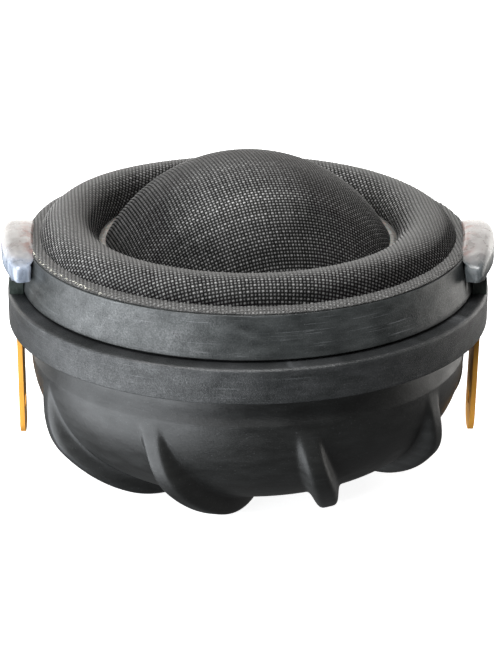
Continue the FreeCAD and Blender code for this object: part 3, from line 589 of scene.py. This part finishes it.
def woven_sheet(name, surface, inner, outer, underside, turn):
    """A closed sheet whose upper face is woven.

    surface(travel, angle) gives points and normals, travel being the length along the cloth
    from the axis. The upper face runs from inner to outer travel, and underside is the open
    outline of (radius, height) points that leads back from its outer edge to its inner one.
    The threads are turned from +X and +Y by turn.
    """
    quads, travel, angle = woven_grid(inner, outer)
    length = np.clip(travel, inner, outer)
    p, q = strayed(length * np.cos(angle), length * np.sin(angle))
    height, warp_on_top, warp_index, weft_index = weave_height(p, q)
    warp_tones, weft_tones = rng.random((2, THREAD_TONES))
    tone = np.where(warp_on_top, warp_tones[warp_index.astype(int) % THREAD_TONES],
                    weft_tones[weft_index.astype(int) % THREAD_TONES])
    turned_angle = angle + turn
    points, normals = surface(length, turned_angle)
    middle_height = 0.6
    points = points + normals * ((height - middle_height) * WEAVE_RELIEF)[:, None]

    rows = len(underside)
    segments = 180
    back = spun_points(underside, segments)
    total = len(points)
    faces = quads.tolist()
    faces += [tuple(total + k for k in face)
              for face in grid_faces(segments, rows, close_rows=False)]
    if inner > 0:
        border = np.nonzero(travel < inner)[0]
        faces += zipped(border, turned_angle[border], total + rows - 1, rows, segments)
    else:
        faces.append([total + k * rows + rows - 1 for k in range(segments)])
    border = np.nonzero(travel > outer)[0]
    faces += zipped(border, turned_angle[border], total, rows, segments)
    sheet = make_object(name, np.vstack([points, back]), faces, 80)
    if len(sheet.data.vertices) != total + len(back):
        raise ValueError(name + " lost points, so its attributes wouldn't fit")

    back_tone = 0.4
    threads = np.stack([p / WEAVE_PITCH, q / WEAVE_PITCH, np.zeros(total)], -1)
    point_values(sheet, "thread_tone", "FLOAT", tone[:, None], (back_tone,))
    point_values(sheet, "threads", "FLOAT_VECTOR", threads, (0, 0, 0))
    point_values(sheet, "sheet_normal", "FLOAT_VECTOR", normals, (0, 0, 1))
    return sheet


def point_values(obj, label, kind, values, rest):
    """Give a mesh's first points their values, and every later point the value rest."""
    count = len(obj.data.vertices) - len(values)
    full = np.vstack([values, np.tile(rest, (count, 1))]).astype(np.float32)
    attribute = obj.data.attributes.new(label, kind, "POINT")
    attribute.data.foreach_set("value" if kind == "FLOAT" else "vector", full.ravel())


def zipped(border, border_angles, first, stride, segments):
    """Triangles between a loop of border points and an evenly spaced ring of points."""
    around = 2 * math.pi
    order = np.argsort(border_angles % around)
    loop = border[order]
    angles = (border_angles % around)[order]
    step = around / segments
    faces = []
    i = k = 0
    while i < len(loop) or k < segments:
        next_angle = angles[i + 1] if i + 1 < len(loop) else angles[0] + around
        here_border = int(loop[i % len(loop)])
        here_ring = int(first + (k % segments) * stride)
        if k >= segments or (i < len(loop) and next_angle <= (k + 1) * step):
            faces.append((here_border, int(loop[(i + 1) % len(loop)]), here_ring))
            i += 1
        else:
            following_ring = int(first + ((k + 1) % segments) * stride)
            faces.append((here_border, here_ring, following_ring))
            k += 1
    return faces


def crown_radius(reach, rise):
    """Radius of an arc that is level at its crown and falls by rise over reach."""
    return (reach ** 2 + rise ** 2) / (2 * rise)


def arc_points(middle, radius, start, end, count):
    """Points of an arc in the (radius, height) plane; angles are from straight up, outwards."""
    turn = np.linspace(start, end, count)
    return [(middle[0] + radius * math.sin(t), middle[1] + radius * math.cos(t)) for t in turn]


# The roll stands a little higher at the left of the front.
SWELL_ANGLE = -115
SWELL_WIDTH = math.radians(32)
SWELL_HEIGHT = 0.45 * MM
SWELL_START = 15.5 * MM
RIM_DROOP = 0.24 * MM             # how far the cloth's cut edge turns down
DROOP_WIDTH = 0.6 * MM


def build_surround():
    """The woven half roll with its flat rim, and the smooth back of the cloth."""
    rim_top = RING_TOP + RIM_THICKNESS
    rise = CREST_TOP - rim_top
    outer_round = crown_radius(ROLL_FOOT_RADIUS - ROLL_CREST_RADIUS, rise)
    inner_round = crown_radius(ROLL_CREST_RADIUS - ROLL_INNER_RADIUS, CREST_TOP - DOME_BASE)
    foot_turn = math.asin((ROLL_FOOT_RADIUS - ROLL_CREST_RADIUS) / outer_round)
    foot_travel = ROLL_CREST_RADIUS + outer_round * foot_turn
    inner_turn = math.radians(84)
    inner_travel = ROLL_CREST_RADIUS - inner_round * inner_turn
    outer_travel = foot_travel + RIM_RADIUS - ROLL_FOOT_RADIUS

    def surface(travel, angle):
        out_turn = np.clip((travel - ROLL_CREST_RADIUS) / outer_round, 0, foot_turn)
        in_turn = np.clip((ROLL_CREST_RADIUS - travel) / inner_round, 0, None)
        on_rim = travel > foot_travel
        r = ROLL_CREST_RADIUS + outer_round * np.sin(out_turn) - inner_round * np.sin(in_turn)
        r = np.where(on_rim, ROLL_FOOT_RADIUS + travel - foot_travel, r)
        z = CREST_TOP - outer_round * (1 - np.cos(out_turn)) - inner_round * (1 - np.cos(in_turn))
        tilt = np.where(on_rim, 0, out_turn - in_turn)
        z = z + waviness(angle, r, z, 0.02 * MM, 4 * MM)
        swell = np.exp(-(angle_gap(angle, front_angle(SWELL_ANGLE)) / SWELL_WIDTH) ** 2)
        z = z + swell * SWELL_HEIGHT * smooth_step((r - SWELL_START) / (1.5 * MM))
        droop = smooth_step((travel - outer_travel + DROOP_WIDTH) / DROOP_WIDTH)
        z = z - droop * (RIM_DROOP + waviness(angle * 7, r, z, 0.05 * MM, MM))
        normal = ring_points(angle, np.sin(tilt), np.cos(tilt))
        return ring_points(angle, r, z), normal

    middle_out = (ROLL_CREST_RADIUS, CREST_TOP - outer_round)
    middle_in = (ROLL_CREST_RADIUS, CREST_TOP - inner_round)
    back_out = outer_round - CLOTH
    back_in = inner_round - CLOTH
    back_foot = math.acos((RING_TOP - middle_out[1]) / back_out)
    under = [(RIM_RADIUS - 0.05 * MM, RING_TOP + 0.02 * MM), (RIM_RADIUS - 0.25 * MM, RING_TOP)]
    under += arc_points(middle_out, back_out, back_foot, 0, 8)
    under += arc_points(middle_in, back_in, 0, -math.radians(97), 9)[1:]
    under += [(ROLL_INNER_RADIUS + CLOTH, LIP_FOOT), (FORMER_RADIUS + 0.05 * MM, LIP_FOOT),
              (FORMER_RADIUS + 0.05 * MM, DOME_BASE), (ROLL_INNER_RADIUS, DOME_BASE)]
    under += arc_points(middle_in, inner_round, -math.radians(95), -inner_turn, 3)[1:]
    sheet = woven_sheet("surround_cloth_roll", surface, inner_travel, outer_travel,
                        np.array(under), SURROUND_WEAVE_TURN)
    flex(sheet)
    finish_piece(sheet, "surround_cloth", "surround")


def flex(obj):
    """Bake obj's placement into its mesh."""
    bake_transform(obj)


def build_dome():
    """The woven dome, a thin spherical cap."""
    rise = DOME_APEX - DOME_BASE
    bend = crown_radius(DOME_RADIUS, rise)
    centre = DOME_APEX - bend
    base_turn = math.asin(DOME_RADIUS / bend)

    def surface(travel, angle):
        turn = travel / bend
        normal = ring_points(angle, np.sin(turn), np.cos(turn))
        return normal * bend + np.array((0, 0, centre)), normal

    inner_bend = bend - CLOTH
    inner_turn = math.acos((DOME_BASE - centre) / inner_bend)
    under = [(DOME_RADIUS - 0.02 * MM, DOME_BASE)]
    under += arc_points((0, centre), inner_bend, inner_turn, 0.05, 12)
    sheet = woven_sheet("dome_cloth_cap", surface, 0, bend * base_turn - 0.05 * MM,
                        np.array(under), DOME_WEAVE_TURN)
    place(sheet, "diaphragm", "dome_cloth", "dome")


def build_bond_bead():
    """The uneven bead of adhesive round the dome's base."""
    def shape(angle, r, z):
        lift = (z - DOME_BASE) / (BEAD_TOP - DOME_BASE)
        uneven = waviness(angle, r, z, 0.10 * MM, MM) + waviness(angle * 3, r, z, 0.03 * MM, MM)
        return r, z + lift * uneven * 0.6

    foot = DOME_RADIUS - 0.03 * MM
    outline = rounded([
        (foot, DOME_BASE, 0),
        (BEAD_RADIUS, DOME_BASE + 0.02 * MM, 0.05 * MM),
        (BEAD_RADIUS + 0.20 * MM, DOME_BASE + 0.45 * MM, 0.12 * MM),
        (foot + 0.05 * MM, BEAD_TOP + 0.22 * MM, 0.12 * MM),
        (foot - 0.35 * MM, BEAD_TOP + 0.16 * MM, 0.05 * MM),
    ])
    place(lathe("bond_bead", outline, 540, shape), "diaphragm", "bond_adhesive",
          "dome_bond_ring")


def build_edge_fibres():
    """Cut thread ends round the surround's rim, in one piece."""
    points, faces = [], []
    count = 760
    rim_top = RING_TOP + RIM_THICKNESS
    for index in range(count):
        angle = 2 * math.pi * (index + random.random()) / count
        outward = Vector((math.cos(angle), math.sin(angle), 0))
        around = Vector((-math.sin(angle), math.cos(angle), 0))
        start = outward * (RIM_RADIUS - random.uniform(0.05, 0.45) * MM)
        start.z = rim_top - random.uniform(0.02, 0.10) * MM
        lean = around * random.uniform(-0.9, 0.9) + outward * random.uniform(0.2, 1.0)
        lean = (lean + Vector((0, 0, random.uniform(-0.25, 0.55)))).normalized()
        length = random.uniform(0.12, 0.30) * MM
        thickness = random.uniform(0.022, 0.042) * MM
        add_fibre(points, faces, start, lean, length, thickness)
    fibres = make_object("surround_edge_fibres", points, faces, 60)
    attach(fibres, "housing")
    fibres.data.materials.append(MATERIALS["frayed_cloth"])


def add_fibre(points, faces, start, direction, length, thickness):
    """One tapering four-sided fibre that droops towards its tip."""
    side = direction.cross(Vector((0, 0, 1))).normalized()
    up = side.cross(direction)
    first = len(points)
    stations = 4
    for step in range(stations):
        share = step / (stations - 1)
        middle = start + direction * (length * share)
        middle.z -= 0.25 * length * share ** 2
        width = thickness * (1 - 0.6 * share)
        for a, b in ((1, 0), (0, 1), (-1, 0), (0, -1)):
            points.append(middle + side * (width * a) + up * (width * b))
    for step in range(stations - 1):
        for k in range(4):
            low, high = first + step * 4, first + step * 4 + 4
            faces.append((low + k, low + (k + 1) % 4, high + (k + 1) % 4, high + k))
    faces.append((first + 3, first + 2, first + 1, first))
    last = first + (stations - 1) * 4
    faces.append((last, last + 1, last + 2, last + 3))


# --- housing ---

def build_flange():
    """The seating flange, with a soft front edge."""
    def shape(angle, r, z):
        return r + waviness(angle, r, z, 0.008 * MM, 2 * MM), z

    outline = dense(rounded([
        (CUP_BORE, 0, 0),
        (FLANGE_RADIUS, 0, 0.12 * MM),
        (FLANGE_RADIUS, FLANGE_TOP, 0.42 * MM),
        (MOTOR_BORE, FLANGE_TOP, 0),
        (MOTOR_BORE, FLANGE_TOP - MM, 0),
        (CUP_BORE, CUP_BORE_DEPTH, 0),
    ], 6), 0.8 * MM)
    flange = lathe("flange_body", outline, 360, shape)
    cutters = [tab_slot_cutter(1, "positive"), tab_slot_cutter(-1, "negative")]
    for cutter in cutters:
        cut = flange.modifiers.new("slot", "BOOLEAN")
        cut.object = cutter
        cut.operation = "DIFFERENCE"
        cut.solver = "EXACT"
    apply_modifiers(flange)
    flange.data.set_sharp_from_angle(angle=math.radians(40))
    for cutter in cutters:
        bpy.data.objects.remove(cutter)
    place(flange, "housing", "chassis_plastic", "chassis_flange")


def tab_slot_cutter(side, name):
    """A block that cuts a tab's slot through the flange, a little wider than the tab."""
    low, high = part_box("terminal_" + name)
    gap = 0.05 * MM
    thickness = 0.5 * MM
    outer_x = max(abs(low.x), abs(high.x))
    return box_object("slot_cutter", (side * (outer_x - thickness / 2), 0, FLANGE_TOP / 2),
                      (thickness + 2 * gap, high.y - low.y + 2 * gap, FLANGE_TOP * 2))


def box_object(name, middle, size):
    corners = [[middle[k] + size[k] / 2 * s[k] for k in range(3)]
               for s in [(x, y, z) for x in (-1, 1) for y in (-1, 1) for z in (-1, 1)]]
    faces = [(0, 1, 3, 2), (4, 6, 7, 5), (0, 4, 5, 1), (2, 3, 7, 6), (0, 2, 6, 4), (1, 5, 7, 3)]
    return make_object(name, corners, faces)


def apply_modifiers(obj):
    """Replace the object's mesh by its evaluated one."""
    graph = bpy.context.evaluated_depsgraph_get()
    mesh = bpy.data.meshes.new_from_object(obj.evaluated_get(graph))
    obj.modifiers.clear()
    obj.data = mesh


# The notch moulded into the ring's side.
NOTCH_ANGLE = 72
NOTCH_HALF_WIDTH = 0.30 * MM
NOTCH_DEPTH = 0.40 * MM
NOTCH_FOOT, NOTCH_TOP = RING_FOOT + 1.2 * MM, RING_FOOT + 3.6 * MM
NOTCH_END = 0.25 * MM             # length over which each end of it fades


def build_ring():
    """The tapered ring, a little uneven, with the moulded notch in its side."""
    inside_radius = 20.9 * MM     # the shape function leaves everything within this alone

    def shape(angle, r, z):
        outside = smooth_step((r - inside_radius) / (0.3 * MM))
        moved = r + outside * waviness(angle, r, z, 0.025 * MM, 3 * MM)
        across = angle_gap(angle, front_angle(NOTCH_ANGLE)) * RING_BASE_RADIUS / NOTCH_HALF_WIDTH
        along = smooth_step((z - NOTCH_FOOT) / NOTCH_END) * smooth_step((NOTCH_TOP - z) / NOTCH_END)
        groove = np.exp(-np.abs(across) ** 4) * along
        return moved - outside * groove * NOTCH_DEPTH, z

    outline = dense(rounded([
        (RING_WEB_BORE, RING_FOOT, 0),
        (RING_BASE_RADIUS, RING_FOOT, 0.10 * MM),
        (RING_BASE_RADIUS - RING_TAPER, RING_TOP, 0.06 * MM),
        (RING_BORE, RING_TOP, 0.10 * MM),
        (RING_BORE, RING_FOOT + RING_WEB, 0),
        (RING_WEB_BORE, RING_FOOT + RING_WEB, 0),
    ]), 0.3 * MM)
    place(lathe("ring_body", outline, 900, shape), "housing", "ring_plastic", "diaphragm_ring")


def build_gasket():
    """The dark gasket seam under the ring."""
    bore = GASKET_RADIUS - 2.5 * MM
    edge = 0.08 * MM
    outline = rounded([
        (bore, GASKET_FOOT, 0),
        (GASKET_RADIUS, GASKET_FOOT, edge),
        (GASKET_RADIUS, GASKET_TOP, edge),
        (bore, GASKET_TOP, 0),
    ])
    place(lathe("gasket_seam", outline, 360), "housing", "gasket_rubber", "ring_gasket")


# The fins: how many, where the first leaves the collar, and how they run down the bowl.
FIN_COUNT = 9
FIRST_FIN = -65.2                            # degrees round from -Y towards +X
FIN_HEIGHT = 1.8 * MM
FIN_HALF_WIDTH = 1.14 * MM
FIN_NARROW_SHARE = 0.8                       # width where a fin starts and ends
FIN_SQUARENESS = 5                           # how flat its top is and how steep its sides
FIN_TURN = math.radians(9.9)                 # how far a fin swirls round over its turn length
FIN_TURN_LENGTH = 10 * MM
FIN_TURN_POWER = 1.64
FIN_RISE_LENGTH = 7 * MM
FIN_FADE_LEAD, FIN_FADE_TAIL = 4.6 * MM, 6.8 * MM
QUARTER = BOWL_ROUND * math.pi / 2           # length of the bowl's round


def fin_lift(angle, travel, radius):
    """Height of the fins above the bowl at a place travel along it from its widest circle."""
    share = np.maximum(travel, 0) / FIN_TURN_LENGTH
    ridge = smooth_step(np.maximum(travel, 0) / FIN_RISE_LENGTH)
    ridge = ridge * (1 - smooth_step((travel - QUARTER + FIN_FADE_LEAD)
                                     / (FIN_FADE_LEAD + FIN_FADE_TAIL)))
    swirl = FIN_TURN * share ** FIN_TURN_POWER
    slope = FIN_TURN * FIN_TURN_POWER / FIN_TURN_LENGTH * share ** (FIN_TURN_POWER - 1)
    lean = np.arctan(radius * slope)
    spacing = 2 * math.pi / FIN_COUNT
    offset = (angle - front_angle(FIRST_FIN) - swirl + spacing / 2) % spacing - spacing / 2
    across = offset * radius * np.cos(lean)
    width = FIN_HALF_WIDTH * (FIN_NARROW_SHARE + (1 - FIN_NARROW_SHARE) * ridge)
    profile = np.exp(-math.log(2) * np.abs(across / width) ** FIN_SQUARENESS)
    return FIN_HEIGHT * ridge * profile


def build_rear_cup():
    """The rear cup: spigot, collar, stepped bowl and swirling fins in one moulding."""
    widest = -(COLLAR_DROP + COLLAR_STEP)
    centre_radius = BOWL_RADIUS - BOWL_ROUND
    base = widest - BOWL_ROUND
    crown = 0.4 * MM
    bore = 18.2 * MM

    upper = rounded([
        (bore, CUP_TOP, 0),
        (CUP_BORE - 0.05 * MM, CUP_TOP, 0.1 * MM),
        (CUP_BORE - 0.05 * MM, 0, 0),
        (COLLAR_RADIUS, 0, 0.05 * MM),
        (COLLAR_RADIUS + 0.10 * MM, -1.7 * MM, 0.3 * MM),
        (BOWL_RADIUS - 0.12 * MM, -COLLAR_DROP, 0.2 * MM),
        (BOWL_RADIUS, widest, 0),
    ])
    travels = np.concatenate([np.arange(0.15 * MM, QUARTER, 0.2 * MM),
                              np.arange(QUARTER, QUARTER + centre_radius, 0.3 * MM)])
    turn = np.minimum(travels, QUARTER) / BOWL_ROUND
    flat = np.maximum(travels - QUARTER, 0)
    r = centre_radius + BOWL_ROUND * np.cos(turn) - flat
    z = widest - BOWL_ROUND * np.sin(turn) - crown * smooth_step(flat / centre_radius)
    gate_mark = smooth_step((1.6 * MM - r) / (0.5 * MM))
    z = z + 0.25 * MM * gate_mark
    tilt = np.where(flat > 0, math.pi / 2, turn)
    inner_turns = np.linspace(math.pi / 2, 0, 10)
    inner_round = BOWL_ROUND - BOWL_WALL
    inner = [(0, base - crown + BOWL_WALL + 0.2 * MM)]
    inner += [(centre_radius + inner_round * math.cos(t), widest - inner_round * math.sin(t))
              for t in inner_turns]
    inner += [(bore, -2 * MM)]

    segments = 900
    angle = np.linspace(0, 2 * math.pi, segments, endpoint=False)[:, None]
    lift = fin_lift(angle, travels[None, :], r[None, :])
    fin_r = r + lift * np.cos(tilt)
    fin_z = z - lift * np.sin(tilt)
    top_r = np.broadcast_to(upper[:, 0], (segments, len(upper)))
    top_z = np.broadcast_to(upper[:, 1], (segments, len(upper)))
    axis = np.zeros((segments, 1))
    bottom_z = np.full((segments, 1), z[-1])
    all_r = np.concatenate([top_r, fin_r, axis], 1)
    all_z = np.concatenate([top_z, fin_z, bottom_z], 1)
    points = ring_points(angle, all_r, all_z).reshape(-1, 3)
    rows = all_r.shape[1]
    shell = grid_faces(segments, rows, close_rows=False)

    inner = np.array(inner)
    inner_segments = 90
    inside = spun_points(inner, inner_segments)
    faces = shell + [tuple(len(points) + k for k in face)
                     for face in grid_faces(inner_segments, len(inner), close_rows=False)]
    every = segments // inner_segments
    last = len(inner) - 1
    for k in range(segments):
        here = len(points) + (k // every) * len(inner) + last
        following = len(points) + (((k + 1) // every) % inner_segments) * len(inner) + last
        face = [k * rows, ((k + 1) % segments) * rows, here]
        if following != here:
            face = [k * rows, ((k + 1) % segments) * rows, following, here]
        faces.append(tuple(face))
    cup = make_object("cup_moulding", np.vstack([points, inside]), faces, 50)
    place(cup, "housing", "cup_plastic", "rear_cup")


# --- terminals, adhesive and leads ---

def soften_cad(node, width):
    """Show a CAD node with its sharp edges slightly rounded."""
    obj = frame["nodes"][node]
    edge_angle = math.radians(35)
    bevel = obj.modifiers.new("soft_edges", "BEVEL")
    bevel.width = width
    bevel.segments = 2
    bevel.limit_method = "ANGLE"
    bevel.angle_limit = edge_angle
    obj.data.shade_smooth()
    obj.data.set_sharp_from_angle(angle=edge_angle)


def build_adhesive_cap(name, side, seed):
    """A lump of adhesive over the block, drawn up against the ring and over the rim.

    It is a squared-off ball, longer towards the front, whose inner side follows the ring and
    whose underside lies on the block and lifts off it at the front.
    """
    low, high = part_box("glue_cap_" + name)
    foot_radius = 23.45 * MM                 # outer face at the block, and above it
    outer_radius = FLANGE_RADIUS + 0.5 * MM
    middle_y = (low.y + high.y) / 2
    middle_radius = 22.4 * MM                # it curves round the ring at this radius
    back_length = (high.y - low.y) / 2 + 0.2 * MM
    front_length = back_length + 2.0 * MM
    sunk = 0.9 * MM                          # depth of the ball that the block cuts off
    front_lift = 0.8 * MM
    columns, rows = 96, 64
    points = []
    for i in range(columns):
        around = 2 * math.pi * i / columns
        for j in range(rows + 1):
            pitch = math.pi * (j / rows - 0.5)
            y = power(math.sin(pitch), 0.75) * (back_length if pitch > 0 else front_length)
            nearness = max(-y / front_length, 0)
            ring_share = power(math.cos(pitch), 0.5 - 0.15 * nearness)
            across = power(math.cos(around), 0.45) * ring_share
            up = power(math.sin(around), 0.7) * ring_share
            height = low.z - sunk + (high.z - low.z + sunk) * (0.5 + 0.5 * up)
            level = (height - low.z) / (high.z - low.z)
            spread = float(smooth_step(level * 2.2))
            bulge = foot_radius + (outer_radius - foot_radius) * spread
            slump = 0.55 * MM * (y / back_length) ** 2 * level
            inner = ring_wall(height)
            radius = (inner + bulge) / 2 + (bulge - inner) / 2 * across
            lump = noise.noise(Vector((y * 450 + seed, height * 450, radius * 450)))
            radius += lump * 0.13 * MM * max(across, 0)
            height += lump * 0.08 * MM * level - slump
            floor = low.z - 0.02 * MM + front_lift * float(smooth_step((nearness - 0.55) * 2.5))
            angle = (y + middle_y) / middle_radius
            points.append((side * radius * math.cos(angle), radius * math.sin(angle),
                           max(height, floor)))
    cap = make_object("adhesive_cap_" + name, points,
                      grid_faces(columns, rows + 1, close_rows=False), 70)
    place(cap, "housing", "clear_adhesive", "glue_cap_" + name)


def power(value, exponent):
    """A signed power, which squares off a circle."""
    return math.copysign(abs(value) ** exponent, value)


def ring_wall(height):
    """Radius where the adhesive stops: on the ring's side, and over the cloth's rim above it."""
    share = min(max((height - RING_FOOT) / (RING_TOP - RING_FOOT), 0), 1)
    pressed_in = 0.12 * MM
    wall = RING_BASE_RADIUS - pressed_in - RING_TAPER * share
    over = float(smooth_step((height - RING_TOP - 0.2 * MM) / (0.5 * MM)))
    overlap = 0.75 * MM
    return wall - over * overlap


def build_lead(name, side):
    """The fine lead, which runs from the coil to its groove in the ring."""
    low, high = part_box("lead_wire_" + name)
    end_x = max(abs(low.x), abs(high.x)) - 0.12 * MM
    start_r = (FORMER_RADIUS + COIL_RADIUS) / 2
    ledge = RING_TOP - 0.325 * MM
    bend = 0.24 * MM
    stops = [(start_r, COIL_TOP), (start_r, COIL_TOP + 1.2 * MM), (15.7 * MM, 6.4 * MM),
             (RING_BORE - 0.3 * MM, ledge), (end_x - bend, ledge),
             (end_x, ledge - bend), (end_x, low.z + 2.6 * MM)]
    curve = bpy.data.curves.new("lead_" + name, "CURVE")
    curve.dimensions = "3D"
    curve.bevel_depth = 0.11 * MM
    curve.bevel_resolution = 3
    curve.use_fill_caps = True
    spline = curve.splines.new("BEZIER")
    spline.bezier_points.add(len(stops) - 1)
    for point, (x, z) in zip(spline.bezier_points, stops):
        point.co = (side * x, 0, z)
        point.handle_left_type = point.handle_right_type = "AUTO"
    holder = bpy.data.objects.new("lead_curve", curve)
    bpy.context.scene.collection.objects.link(holder)
    bpy.context.view_layer.update()
    mesh = bpy.data.meshes.new_from_object(holder)
    bpy.data.objects.remove(holder)
    wire = bpy.data.objects.new("lead_" + name, mesh)
    bpy.context.scene.collection.objects.link(wire)
    flex(wire)
    finish_piece(wire, "copper", "lead_wire_" + name)


# --- the object ---

build_surround()
build_dome()
build_bond_bead()
build_edge_fibres()
build_flange()
build_ring()
build_gasket()
build_rear_cup()
for cap_name, cap_side, cap_seed in (("positive", 1, 3.0), ("negative", -1, 11.0)):
    build_adhesive_cap(cap_name, cap_side, cap_seed)
    build_lead(cap_name, cap_side)
    soften_cad("terminal_" + cap_name, 0.06 * MM)
    soften_cad("terminal_block_" + cap_name, 0.10 * MM)

slots = {row["node"]: row["material_slot"] for row in frame["record"]["subparts"]}
for node_name, node in frame["nodes"].items():
    node.data.materials.clear()
    node.data.materials.append(MATERIALS[slots[node_name]])


# --- floor, light and camera ---

ROOM_LIGHT = 0.13                 # strength of the surroundings' light
CAMERA_ELEVATION = math.radians(21.4)
CAMERA_DISTANCE = 0.2406
CAMERA_LENS = 132.1               # millimetres, on a 36 mm long side
AIM_DROP = 2.23 * MM              # the camera looks this far below the frame's origin


def area_light(name, azimuth, elevation, distance, width, height, power_watts, colour=(1, 1, 1)):
    """A soft panel that faces the object; azimuth 0 is the camera's side, -90 its left."""
    light = bpy.data.lights.new(name, "AREA")
    light.shape = "RECTANGLE"
    light.size, light.size_y = width, height
    light.energy = power_watts
    light.color = colour
    panel = bpy.data.objects.new(name, light)
    a, e = math.radians(azimuth), math.radians(elevation)
    panel.location = Vector((math.sin(a) * math.cos(e), -math.cos(a) * math.cos(e),
                             math.sin(e))) * distance
    panel.rotation_euler = (-panel.location).to_track_quat("-Z", "Y").to_euler()
    panel.visible_camera = False
    bpy.context.scene.collection.objects.link(panel)


def build_floor():
    """A white sheet just under the object, with no shadow on it."""
    half = 2.5
    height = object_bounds()[0].z - 0.05 * MM
    corners = [(-half, -half, height), (half, -half, height), (half, half, height),
               (-half, half, height)]
    floor = make_object("floor", corners, [(0, 1, 2, 3)])
    shader = Shader("floor_paper")
    tone = shader.noise(0.05, detail=2)
    floor.data.materials.append(shader.surface(
        Base_Color=shader.ramp(tone, (0.3, (0.90, 0.90, 0.90)), (0.7, (0.93, 0.93, 0.93))),
        Roughness=0.9, Emission_Color=(1, 1, 1, 1), Emission_Strength=0.9))
    floor.visible_glossy = False
    floor.visible_diffuse = False
    floor.visible_shadow = False


def build_world():
    """Dim white surroundings, which the camera sees at full white."""
    world = bpy.data.worlds.new("studio")
    world.use_nodes = True
    nodes, links = world.node_tree.nodes, world.node_tree.links
    seen = nodes.new("ShaderNodeLightPath").outputs["Is Camera Ray"]
    strength = nodes.new("ShaderNodeMapRange")
    strength.inputs["To Min"].default_value = ROOM_LIGHT
    links.new(seen, strength.inputs["Value"])
    background = nodes["Background"]
    background.inputs["Color"].default_value = (1, 1, 1, 1)
    links.new(strength.outputs[0], background.inputs["Strength"])
    bpy.context.scene.world = world


def build_camera():
    """The camera in front of the object, looking down on it."""
    camera = bpy.data.objects.new("camera", bpy.data.cameras.new("camera"))
    camera.data.lens = CAMERA_LENS
    camera.data.clip_start = 0.01
    back = Vector((0, -math.cos(CAMERA_ELEVATION), math.sin(CAMERA_ELEVATION)))
    up = Vector((0, math.sin(CAMERA_ELEVATION), math.cos(CAMERA_ELEVATION)))
    camera.location = back * CAMERA_DISTANCE
    from_aim = back * CAMERA_DISTANCE + up * AIM_DROP
    camera.rotation_euler = from_aim.to_track_quat("Z", "Y").to_euler()
    bpy.context.scene.collection.objects.link(camera)
    bpy.context.scene.camera = camera


build_floor()
build_world()
area_light("backdrop", 180, 8, 0.8, 2.0, 0.8, 9.0, (1.0, 0.98, 0.95))
area_light("right_back", 118, 2, 0.8, 0.7, 0.6, 2.2, (1.0, 0.98, 0.94))
area_light("left_panel", -65, -8, 0.6, 1.0, 0.9, 14.0, (0.92, 0.96, 1.0))
area_light("top_soft", -12, 60, 0.8, 0.5, 0.5, 11.5)
bpy.context.scene.view_settings.view_transform = "Standard"
build_camera()
